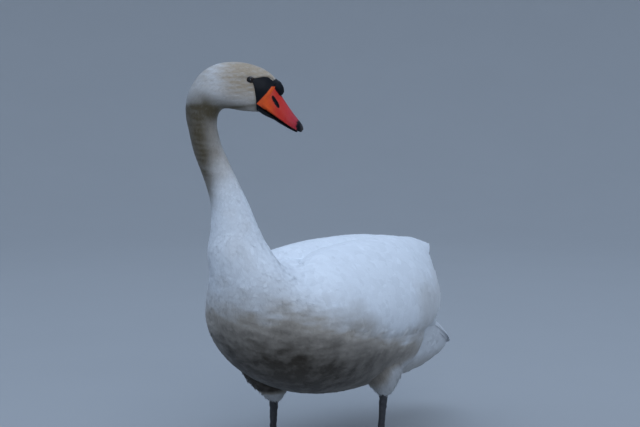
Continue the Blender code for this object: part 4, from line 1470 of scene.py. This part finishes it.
class SWAN_OT_tail_coat(bpy.types.Operator):
    """The tail's fan of feathers with its coverts above and below."""

    bl_idname = "swan.tail_coat"
    bl_label = "Tail feathers"

    # Each layer: turn at the middle and to the sides, s at the root and the tip, how far sides end short.
    LAYERS = ((0.0, 1.45, 0.8, 6.06, 1.7), (math.pi, 1.30, 1.5, 5.75, 1.9))
    # Each set: range of s and t, spacing, length, half width, lift.
    SETS = (
        ((0.0, 3.6), (-1.5, 1.5), 0.0105, 0.050, 0.0120, 0.0008),
        ((0.0, 5.3), (1.2, 5.08), 0.0086, 0.044, 0.0105, 0.0011),
    )

    def execute(self, context):
        fan = Coat(101)
        u, share = np.linspace(0, 1, 14)[None], np.linspace(-1, 1, 13)[:, None]
        for middle, reach, s_start, s_tip, short in self.LAYERS:
            s = s_start + (s_tip - short * np.abs(share) ** 1.7 - s_start) * u
            t = middle + reach * share + 0 * u
            points, _, _, normal = TAIL.frame(s, t)
            run = unit(np.gradient(points, axis=1))
            across = unit(np.cross(normal, run))
            normal = unit(np.cross(run, across))
            points = points + normal * (0.0005 - 0.0030 * np.abs(share))[..., None]
            root = np.stack([s[:, 0] / 6, t[:, 0] / WHOLE_TURN + 0.25], axis=1)
            grow_blades(fan, points, across, normal, 0.0125, "tail", root)
        fan.make("tail_feathers", flight_material())
        coat = Coat(102)
        for s_range, t_range, gap, length, half, lift in self.SETS:
            s, t = scatter(TAIL, s_range, t_range, gap, 103)
            clump = waves(TAIL.points(s, t), 0.035, 104)
            grow_vanes(
                coat, TAIL, s, t, length * (1 + 0.14 * coat.vary(s)), half, "tail", lie=1,
                turn=0.12 * coat.vary(s), depth=0.007, rows=6, columns=5, ragged=0.05,
                lift=lift * (1 + 0.6 * clump + 0.3 * coat.vary(s)), cup=0.0003, softness=0.85,
            )
        coat.make("coat_tail", contour_material())
        return {"FINISHED"}


class SWAN_OT_leg_coat(bpy.types.Operator):
    """Soft loose feathers of the thighs, ragged at the ankle."""

    bl_idname = "swan.leg_coat"
    bl_label = "Thigh feathers"

    # Each set: spacing, length, half width, depth, lift, how wildly they turn.
    SETS = (
        (0.0062, 0.026, 0.0052, 0.006, 0.0006, 0.14),
        (0.0042, 0.019, 0.0012, 0.002, 0.0018, 0.30),
    )

    def execute(self, context):
        soft = contour_material()
        for side, form in THIGHS.items():
            coat = Coat(111 + SIDES[side])
            for gap, length, half, depth, lift, wild in self.SETS:
                s, t = scatter(form, (0.0, 4.5), (0, WHOLE_TURN), gap, 113)
                grow_vanes(
                    coat, form, s, t, length * (1 + 0.18 * coat.vary(s)), half, f"thigh_{side}", lie=1,
                    turn=wild * coat.vary(s), depth=depth, lift=lift * (1 + coat.vary(s) * 0.6),
                    cup=0.0005, rows=5, columns=3, ragged=0.10,
                )
            coat.make(f"coat_thigh_{side}", soft)
        return {"FINISHED"}


# ---------------------------------------------------------------- the head's bare parts


def head_plane(s, c):
    """Along, up and half width at ring number s and height c (-1 to 1) on the ring.

    Past the last ring the rings go straight on for one more step.
    """
    row = smooth_rows(BODY.rows, np.clip(s, HEAD_START, BODY_END))
    high, low, waist = row[..., 0:3], row[..., 3:6], row[..., 9:10]
    middle = low + (high - low) * waist
    ends = smooth_rows(BODY.rows, np.array([BODY_END - 0.2, BODY_END]))
    drift = (ends[1] - ends[0])[:6].reshape(2, 3).mean(axis=0) / 0.2
    c = c[..., None]
    point = middle + c * np.where(c > 0, high - middle, middle - low)
    point = point + drift * np.clip(s - BODY_END, 0, 1)[..., None]
    along, up, _ = head_terms(point)
    return along, up, np.linalg.norm(row[..., 6:9], axis=-1)


def on_head(along, up):
    """How far out to the side the head's surface is, over points of the head's plane.

    Newton's steps look for the ring number s and height c on the ring whose plane point is the one
    asked for. The way out to the side is then the ring's half width times the root of 1 - c * c.
    """
    along, up = np.broadcast_arrays(along, up)
    s, c = np.full(along.shape, 25.5), np.zeros(along.shape)
    for _ in range(24):
        a, u, _ = head_plane(s, c)
        a_s, u_s, _ = head_plane(s + 0.01, c)
        a_c, u_c, _ = head_plane(s, c + 0.01)
        das, dus, dac, duc = (a_s - a) / 0.01, (u_s - u) / 0.01, (a_c - a) / 0.01, (u_c - u) / 0.01
        whole = das * duc - dac * dus
        whole = np.where(np.abs(whole) < 1e-9, 1e-9, whole)
        need_a, need_u = along - a, up - u
        s = np.clip(s + 0.8 * (need_a * duc - need_u * dac) / whole, HEAD_START, BODY_END + 1)
        c = np.clip(c + 0.8 * (need_u * das - need_a * dus) / whole, -0.995, 0.995)
    _, _, half = head_plane(s, c)
    return half * np.sqrt(1 - c**2) * np.sqrt(1 - np.clip(s - BODY_END, 0, 1) ** 2)


# Where the lores meet the orange of the bill, from the knob down to the gape.
BILL_BASE_LINE = ((0.1310, 0.0800), (0.1230, 0.0690), (0.1140, 0.0595), (0.1050, 0.0505), (0.1030, 0.0480))


class SWAN_OT_face(bpy.types.Operator):
    """The bare black lores, from the eye to the bill, with the orange gape over the head's front."""

    bl_idname = "swan.face"
    bl_label = "Bare face"

    def execute(self, context):
        horn, rows, columns = horn_material(), 80, 84
        rear_keys = np.array(((0.0915, 0.0952), *FACE_REAR, (0.1024, 0.0380)))
        rear = smooth_rows(rear_keys, np.linspace(0, len(rear_keys) - 1, rows))
        front = np.stack(head_plane(np.full(rows, BODY_END + 1.0), np.linspace(0.99, -0.99, rows))[:2], -1)
        edge = np.linspace(0, 1, columns) ** 0.9
        plane = rear[:, None] * (1 - edge[:, None]) + front[:, None] * edge[:, None]
        # The patch's first row follows the line of the forehead's feathers.
        top_line = np.interp(plane[..., 0], *np.array(FACE_TOP).T) + 0.0006
        over = np.linspace(1, 0, rows)[:, None] ** 3 * (top_line - plane[..., 1][:1])
        plane[..., 1] += over * smooth(1.0, 0.55, edge)
        along, up = plane[..., 0], plane[..., 1]
        rise = 0.0004 - 0.0018 * (1 - smooth(0.0, 0.05, edge))
        inner = smooth(0.05, 0.3, edge) * smooth(0.75, 0.5, edge)
        left = on_head(along, up) + rise + 0.00006 * np.sin(along * 1700 + up * 900) * inner
        base = np.array(BILL_BASE_LINE)[::-1]
        orange = smooth(-0.0005, 0.0005, along - np.interp(up, base[:, 1], base[:, 0]))
        orange = orange * smooth(0.0815, 0.0800, up) * smooth(0.0500, 0.0508, up + (along - 0.104) * 0.80)
        black = 1 - orange.ravel()
        zones = np.stack([0 * black, black, 0 * black], axis=1)
        for name, side in SIDES.items():
            flat = in_head(along, up, side * left).reshape(-1, 3)
            faces = facing(flat, grid_faces(rows, columns), HEAD_LEFT * side)
            make_mesh(f"face_{name}", flat, faces, horn, values={"zones": zones})
        return {"FINISHED"}


def segment_distance(along, up, start, end):
    """Distance in the head's plane to a straight stretch, and the share along it."""
    start, end = np.array(start), np.array(end)
    way = end - start
    share = ((along - start[0]) * way[0] + (up - start[1]) * way[1]) / (way @ way)
    near = np.clip(share, 0, 1)
    return np.hypot(along - start[0] - near * way[0], up - start[1] - near * way[1]), share


UPPER_BILL = (
    # culmen            cutting edge      half width
    ((0.1380, 0.0880), (0.1065, 0.0450), 0.0180),
    ((0.1420, 0.0760), (0.1150, 0.0395), 0.0178),
    ((0.1462, 0.0640), (0.1245, 0.0335), 0.0174),
    ((0.1540, 0.0515), (0.1350, 0.0262), 0.0172),
    ((0.1625, 0.0392), (0.1460, 0.0190), 0.0176),
    ((0.1708, 0.0280), (0.1570, 0.0122), 0.0180),
    ((0.1785, 0.0185), (0.1670, 0.0060), 0.0160),
    ((0.1840, 0.0105), (0.1765, 0.0010), 0.0108),
    ((0.1862, 0.0040), (0.1820, -0.0012), 0.0045),
)
LOWER_BILL = (
    ((0.1062, 0.0440), (0.1060, 0.0350), 0.0166),
    ((0.1146, 0.0388), (0.1145, 0.0290), 0.0164),
    ((0.1242, 0.0328), (0.1240, 0.0246), 0.0160),
    ((0.1346, 0.0255), (0.1340, 0.0202), 0.0157),
    ((0.1456, 0.0183), (0.1452, 0.0134), 0.0158),
    ((0.1566, 0.0115), (0.1560, 0.0075), 0.0158),
    ((0.1664, 0.0053), (0.1660, 0.0022), 0.0138),
    ((0.1745, 0.0006), (0.1740, -0.0016), 0.0080),
)


def ball_ways(rings, sides, first, second, pole):
    """Ways to a grid over a ball whose three half axes are given, and the cosine of each one's tilt.

    A way is sin tilt * (cos turn * first + sin turn * second) + cos tilt * pole.
    """
    tilt, turn = ring_grid(np.linspace(0, math.pi, rings)[1:-1], sides)
    shares = (np.sin(tilt) * np.cos(turn), np.sin(tilt) * np.sin(turn), np.cos(tilt))
    return sum(share[..., None] * axis for share, axis in zip(shares, (first, second, pole))), shares[2]


class SWAN_OT_bill(bpy.types.Operator):
    """The upper bill with its nostrils, cutting edges and nail, the lower bill, and the knob."""

    bl_idname = "swan.bill"
    bl_label = "Bill and knob"

    def execute(self, context):
        black = black_material()
        self.upper(horn_material())
        form = Form(profile_rows(LOWER_BILL, in_head, HEAD_LEFT, 0.78), 1, square=2.3)
        flat, faces = tube(form.inside(*ring_grid(np.linspace(0, 7, 70), 72)))
        lower = make_mesh("bill_lower_shell", flat, faces, black)
        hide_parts("bill_lower")
        self.knob(black)
        return {"FINISHED"}

    def upper(self, horn):
        form = Form(profile_rows(UPPER_BILL, in_head, HEAD_LEFT, 0.22), 1, square=2.3)
        s, t = ring_grid(np.linspace(0, 8, 132), 144)
        points, _, _, normal = form.frame(s, t)
        normal = off_middle(points, normal)
        along, up, left = head_terms(points)
        high = np.cos(t)
        on_side = smooth(0.25, 0.6, np.abs(np.sin(t))) * (high > -0.2)
        to_nostril, share = segment_distance(along, up, (0.1330, 0.0622), (0.1436, 0.0440))
        to_nostril = to_nostril + 0.0012 * (2 * np.clip(share, 0, 1) - 1) ** 2
        pit = (1 - smooth(0.0008, 0.0030, to_nostril)) * on_side
        edge_line = smooth(-0.02, -0.16, high) * smooth(-0.95, -0.6, high)
        rounded_nail = smooth(0.1774, 0.1800, along + 0.10 * np.abs(left)) * (high > -0.6)
        points = points - normal * (0.0024 * pit)[..., None]
        points = points + normal * (0.0004 * edge_line + 0.0003 * rounded_nail)[..., None]
        points = points + normal * (0.00012 * waves(points, 0.012, 41))[..., None]
        # The zones: how far towards the tip, how black, and how worn.
        toward_tip = smooth(0.110, 0.186, along + 0.2 * (up - 0.04))
        ring = 1 - smooth(0.0030, 0.0038, to_nostril + 0.0005 * waves(points, 0.008, 42))
        lip = np.interp(along, (0.112, 0.145), (-0.78, -0.38))
        knob_side, _ = segment_distance(along, up, (0.1310, 0.0904), (0.1465, 0.0665))
        by_knob = 1 - smooth(0.0030, 0.0038, knob_side + 0.0006 * waves(points, 0.01, 43))
        nail = along + 0.12 * np.abs(left) - 0.0006 * waves(points, 0.006, 44)
        dark = ring * on_side + smooth(lip, lip - 0.10, high) + by_knob + smooth(0.1765, 0.1788, nail)
        paled = smooth(0.1800, 0.1850, along) * 0.9
        zones = np.stack([toward_tip, np.clip(dark, 0, 1), paled], axis=-1).reshape(-1, 3)
        zones = np.concatenate([zones, zones[:1], zones[-1:]])
        flat, faces = tube(points)
        upper = make_mesh("bill_upper_shell", flat, faces, horn, values={"zones": zones})
        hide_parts("bill_upper")

    def knob(self, black):
        """An ellipsoid leaning over the bill's base, a little wrinkled."""
        length = unit(in_head(0.1473, 0.0669) - in_head(0.1303, 0.0927))
        rise = unit(np.cross(length, HEAD_LEFT))
        rise = rise if rise[2] > 0 else -rise
        way, _ = ball_ways(50, 72, 0.0097 * rise, 0.0112 * HEAD_LEFT, 0.0162 * length)
        points = in_head(0.1388, 0.0798) + way
        points = points + unit(way) * (0.0003 * waves(points, 0.009, 45))[..., None]
        flat, faces = tube(points)
        knob = make_mesh("knob_shell", flat, faces, black)
        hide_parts("bill_knob")


class SWAN_OT_eyes(bpy.types.Operator):
    """Eyeballs with a dark iris and pupil, and black lids drawn close round them."""

    bl_idname = "swan.eyes"
    bl_label = "Eyes"

    def execute(self, context):
        glossy, black = eye_material(), black_material()
        for name, side in SIDES.items():
            centre = in_head(*EYE_PLACE, side * EYE_IN_HEAD[2])
            outward = HEAD_LEFT * side
            way, gaze = ball_ways(42, 56, HEAD_LOOK, UP, outward)
            bulge = 1 + 0.035 * smooth(0.80, 0.98, gaze)
            flat, faces = tube(centre + way * (EYE_RADIUS * bulge)[..., None])
            gaze = np.concatenate([gaze.ravel(), [1.0, -1.0]])
            ball = make_mesh(f"eyeball_{name}", flat, faces, glossy, values={"gaze": gaze})
            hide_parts(f"eye_{name}")
            self.lids(name, centre, outward, black)
        return {"FINISHED"}

    def lids(self, name, centre, outward, black):
        """A ring whose section runs from the head's surface over a rounded rim and back to the ball.

        Round the eye by turn a and across the lid by share q: a point lies at radius r(a, q) from the
        eye's line of sight, and stands out by h(q). The opening is an almond, drawn to a corner
        towards the bill.
        """
        q, a = np.meshgrid(np.linspace(0, 1, 12), around(96), indexing="ij")
        corner = np.exp(-((np.angle(np.exp(1j * a))) ** 2) / 0.10)
        inner = 0.0032 + 0.0003 * np.cos(2 * a) + 0.0006 * corner
        outer = 0.0052 + 0.0006 * corner
        radius = outer + (inner - outer) * q
        ball_face = np.sqrt(np.maximum((EYE_RADIUS * 1.02) ** 2 - radius**2, 0))
        rim = 0.0007 * np.sin(math.pi * np.clip(q * 1.15, 0, 1)) ** 0.7
        settle = smooth(0.0, 0.35, q)
        out = (1 - settle) * 0.0022 + settle * np.minimum(ball_face, 0.0056) + rim
        out = out - 0.0010 * (q > 0.97) + 0.00012 * np.sin(9 * a + 14 * q)
        points = (
            centre
            + (radius * np.cos(a))[..., None] * HEAD_LOOK
            + (radius * np.sin(a))[..., None] * UP
            + out[..., None] * outward
        )
        flat = points.reshape(-1, 3)
        faces = facing(flat, grid_faces(*q.shape, True), outward)
        make_mesh(f"lids_{name}", flat, faces, black)


# ---------------------------------------------------------------- legs

TOES = {
    # name: (turn outwards, length, half width)
    "inner": (math.radians(-27), 0.098, 0.0062),
    "middle": (0.0, 0.128, 0.0066),
    "outer": (math.radians(25), 0.124, 0.0062),
}
HEEL_RADIUS = 0.0125
WEB_THICKNESS = 0.0026


def foot_outline(turn):
    """How far the foot reaches from the joint of its toes, at each turn from the middle toe."""
    reach = np.full(turn.shape, HEEL_RADIUS)
    for angle, length, half in TOES.values():
        off = turn - angle
        sideways = half / np.maximum(np.abs(np.sin(off)), 1e-6)
        reach = np.where(np.cos(off) > 0, np.maximum(reach, np.minimum(length, sideways)), reach)
    toes = [TOES[name] for name in ("inner", "middle", "outer")]
    for (a, long_a, _), (b, long_b, _) in zip(toes, toes[1:]):
        share = (turn - a) / (b - a)
        web = (long_a + (long_b - long_a) * share) * 0.95 - 0.014 * np.sin(np.pi * share)
        reach = np.where((share > 0) & (share < 1), np.maximum(reach, web), reach)
    return reach


def foot_height(along, across):
    """The web with a ridge along each toe, which swells at the toe's joints and is ringed by scutes."""
    height = WEB_THICKNESS - 0.0006 + 0.0002 * np.sin(along * 1300)
    for angle, length, half in TOES.values():
        run = along * math.cos(angle) + across * math.sin(angle)
        off = across * math.cos(angle) - along * math.sin(angle)
        share = np.clip(run / length, 0, 1)
        knuckle = 1 + 0.10 * np.cos(share * 6 * math.pi) * (share > 0.15)
        ridge = (0.0125 - 0.0075 * share) * knuckle + 0.00018 * np.sin(run * 2100)
        height = np.maximum(height, ridge * np.sqrt(np.clip(1 - (off / (half * 1.30)) ** 2, 0, 1)))
    return height


def on_foot(foot, side, along, across, up):
    """A place on a foot in the model's axes."""
    forward = along * math.cos(TOE_OUT) - across * math.sin(TOE_OUT)
    outward = along * math.sin(TOE_OUT) + across * math.cos(TOE_OUT)
    return place(foot[0] + forward, foot[1] + side * outward, foot[2] + up)


class SWAN_OT_legs(bpy.types.Operator):
    """Shanks with scutes down the front, knobbly ankles and webbed feet, with their toes and claws."""

    bl_idname = "swan.legs"
    bl_label = "Legs and feet"

    def execute(self, context):
        skin, horn = leg_material(), claw_material()
        for name, side in SIDES.items():
            leg = self.leg(name, np.array(ANKLES[name]), np.array(FEET[name]), skin)
            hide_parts(f"leg_{name}")
            foot = self.foot(name, FEET[name], side, skin)
            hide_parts(f"foot_{name}")
            for toe in ("inner", "middle", "outer", "hind"):
                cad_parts[f"claw_{toe}_{name}"].material_slots[0].material = horn
        return {"FINISHED"}

    def leg(self, name, ankle, foot, skin):
        """A tube of oval rings from shin to toe joint, with overlapping scutes down its front."""
        shin, joint = ankle + np.array([0.010, 0.002 * np.sign(ankle[1]), 0.030]), foot - ankle
        keys = (
            # place, half length, half width
            (shin, 0.0090, 0.0075),
            (ankle + (shin - ankle) * 0.35, 0.0105, 0.0085),
            (ankle, 0.0130, 0.0098),
            (ankle + joint * 0.16, 0.0100, 0.0076),
            (ankle + joint * 0.45, 0.0082, 0.0062),
            (ankle + joint * 0.72, 0.0085, 0.0066),
            (np.array([*foot[:2], 0.0150]), 0.0110, 0.0090),
        )
        ahead = np.array([1, 0, 0])
        rows = [
            ring_row(place(*(at + ahead * length)), place(*(at - ahead * length)), width, LEFT)
            for at, length, width in keys
        ]
        s, t = ring_grid(np.linspace(0, 6, 150), 56)
        points, _, _, normal = Form(rows, 1).frame(s, t)
        saw = (points[..., 2] / 0.0042) % 1.0
        scutes = 0.0004 * smooth(0.2, 0.8, np.cos(t)) * saw**2 * smooth(0.1, 1.0, s)
        lumps = 0.0004 * waves(points, 0.012, 47)
        flat, faces = tube(points + off_middle(points, normal) * (scutes + lumps)[..., None])
        return make_mesh(f"leg_{name}_scaled", flat, faces, skin)

    def foot(self, name, foot, side, skin):
        """Rings from the flat sole's outline over its rim and up the toes' ridges to their joint."""
        toes = [angle for angle, _, _ in TOES.values()]
        near = np.concatenate([np.radians(np.linspace(-9, 9, 19)) + angle for angle in toes])
        turn = np.unique(np.round(np.concatenate([near, np.radians(np.arange(-179, 181, 3.0))]), 5))
        reach = foot_outline(turn)
        share = np.concatenate([[1.0, 1.0, 0.992], np.linspace(0.98, 0.06, 46)])[:, None]
        along, across = reach * share * np.cos(turn), reach * share * np.sin(turn)
        up = foot_height(along, across)
        up[0], up[1] = 0.0, 0.0012
        up[2] = np.minimum(up[2], 0.0022)
        flat, faces = tube(on_foot(foot, side, along, across, up))
        flat[-1, 2] = 0.0138
        return make_mesh(f"foot_{name}_webbed", flat, faces, skin)


# ---------------------------------------------------------------- the stage


class SWAN_OT_stage(bpy.types.Operator):
    """A plain pale floor, soft light from above, and the camera."""

    bl_idname = "swan.stage"
    bl_label = "Floor, light and camera"

    def execute(self, context):
        scene = context.scene
        look = scene.swan_stage
        self.floor(scene, look)
        self.sky(scene)
        self.lamps(scene)
        self.camera(scene, look)
        return {"FINISHED"}

    def floor(self, scene, look):
        """A flat floor of radius flat, which curves up into a round wall: radius and height by angle."""
        flat, curve, sides = 3.6, 3.4, 96
        bend = np.linspace(0, math.pi / 2, 24)
        radius = np.concatenate([[0.4], flat + curve * np.sin(bend), [flat + curve]])
        height = np.concatenate([[0.0], curve * (1 - np.cos(bend)), [curve + 1.2]]) - 0.0002
        radius, turn = ring_grid(radius, sides)
        rings = np.stack([radius * np.cos(turn), radius * np.sin(turn), height[:, None] + 0 * turn], axis=-1)
        points = np.concatenate([rings.reshape(-1, 3), [[0, 0, height[0]]]])
        j = np.arange(sides)
        fan = np.stack([np.full(sides, len(points) - 1), j, (j + 1) % sides, (j + 1) % sides], axis=-1)
        faces = np.concatenate([grid_faces(len(radius), sides, True), fan])
        mesh = bpy.data.meshes.new("floor")
        mesh.from_pydata(points.tolist(), [], [list(dict.fromkeys(face)) for face in faces.tolist()])
        mesh.shade_smooth()
        paint = Finish("floor_paint")
        soft = paint.nodes.noise(paint.nodes.place_on(), 3.0, 4.0)
        dim = tuple(channel * 0.96 for channel in look.floor)
        shade = paint.nodes.mix(soft, four(dim), four(look.floor))
        mesh.materials.append(paint.finish(shade, Roughness=0.9, Specular_IOR_Level=0.1))
        floor = bpy.data.objects.new("floor", mesh)
        scene.collection.objects.link(floor)
        floor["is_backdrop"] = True

    def sky(self, scene):
        """A plain world, brighter overhead than at the horizon."""
        world = bpy.data.worlds.new("studio_sky")
        scene.world = world
        world.use_nodes = True
        nodes = Nodes(world.node_tree)
        background = world.node_tree.nodes["Background"].inputs
        rise = nodes.parts(nodes.add("ShaderNodeTexCoord").outputs["Generated"])[2]
        shade = nodes.mix(nodes.spread(rise, 0.0, 0.9), four((0.43, 0.50, 0.59)), four((0.76, 0.93, 1.20)))
        nodes.put(shade, background["Color"])
        background["Strength"].default_value = 0.81

    def lamps(self, scene):
        for name, spot, aim, size, power, colour in (
            ("sky_panel", (0.4, 0.3, 5.2), (0, 0, 0.4), 4.0, 45.0, (0.72, 0.92, 1.20)),
            ("side_panel", (-2.3, -1.9, 1.7), (0, 0, 0.5), 1.6, 3.8, (0.66, 0.90, 1.24)),
            ("far_panel", (2.0, -2.0, 1.6), (0, 0, 0.4), 1.6, 18.0, (0.85, 0.95, 1.09)),
        ):
            lamp = bpy.data.lights.new(name, "AREA")
            lamp.size = size
            lamp.energy = power
            lamp.color = colour
            obj = bpy.data.objects.new(name, lamp)
            obj.location = spot
            obj.rotation_euler = (Vector(aim) - Vector(spot)).to_track_quat("-Z", "Y").to_euler()
            scene.collection.objects.link(obj)

    def camera(self, scene, look):
        target = Vector((0.016, -0.0993, 0.482))
        a, e = look.azimuth, look.elevation
        back = Vector((math.sin(a) * math.cos(e), -math.cos(a) * math.cos(e), math.sin(e)))
        data = bpy.data.cameras.new("camera")
        data.sensor_width = 36.0
        data.lens = data.sensor_width / 2 / math.tan(look.field / 2)
        obj = bpy.data.objects.new("camera", data)
        obj.location = target + back * look.distance
        obj.rotation_euler = (-back).to_track_quat("-Z", "Y").to_euler()
        scene.collection.objects.link(obj)
        scene.camera = obj
        scene.view_settings.view_transform = "Standard"
        scene.view_settings.look = "None"


# ---------------------------------------------------------------- the add-on


class SWAN_PT_panel(bpy.types.Panel):
    """Lists the swan's pieces and their settings in the sidebar."""

    bl_idname = "SWAN_PT_panel"
    bl_label = "Mute swan"
    bl_space_type = "VIEW_3D"
    bl_region_type = "UI"
    bl_category = "Swan"

    def draw(self, context):
        layout = self.layout
        for group in ("swan_plumage", "swan_bare", "swan_stage"):
            settings = getattr(context.scene, group)
            box = layout.box()
            for name in settings.bl_rna.properties.keys():
                if name not in ("rna_type", "name"):
                    box.prop(settings, name)
        for operator in OPERATORS:
            layout.operator(operator.bl_idname)


SETTINGS = {
    "swan_plumage": SwanPlumageSettings,
    "swan_bare": SwanBareSettings,
    "swan_stage": SwanStageSettings,
}
OPERATORS = (
    SWAN_OT_skin,
    SWAN_OT_body_coat,
    SWAN_OT_neck_coat,
    SWAN_OT_head_coat,
    SWAN_OT_wing_coat,
    SWAN_OT_tail_coat,
    SWAN_OT_leg_coat,
    SWAN_OT_face,
    SWAN_OT_bill,
    SWAN_OT_eyes,
    SWAN_OT_legs,
    SWAN_OT_stage,
)


def register():
    for kind in (*SETTINGS.values(), *OPERATORS, SWAN_PT_panel):
        bpy.utils.register_class(kind)
    for name, kind in SETTINGS.items():
        setattr(bpy.types.Scene, name, bpy.props.PointerProperty(type=kind))


def unregister():
    for name in SETTINGS:
        delattr(bpy.types.Scene, name)
    for kind in (SWAN_PT_panel, *reversed(OPERATORS), *reversed(SETTINGS.values())):
        bpy.utils.unregister_class(kind)


def main():
    register()
    for operator in OPERATORS:
        family, name = operator.bl_idname.split(".")
        getattr(getattr(bpy.ops, family), name)()
    sizes = {"cad": CAD_BOX, "visual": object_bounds()}
    {key: [list(map(float, corner)) for corner in box] for key, box in sizes.items()}


if __name__ == "__main__":
    main()
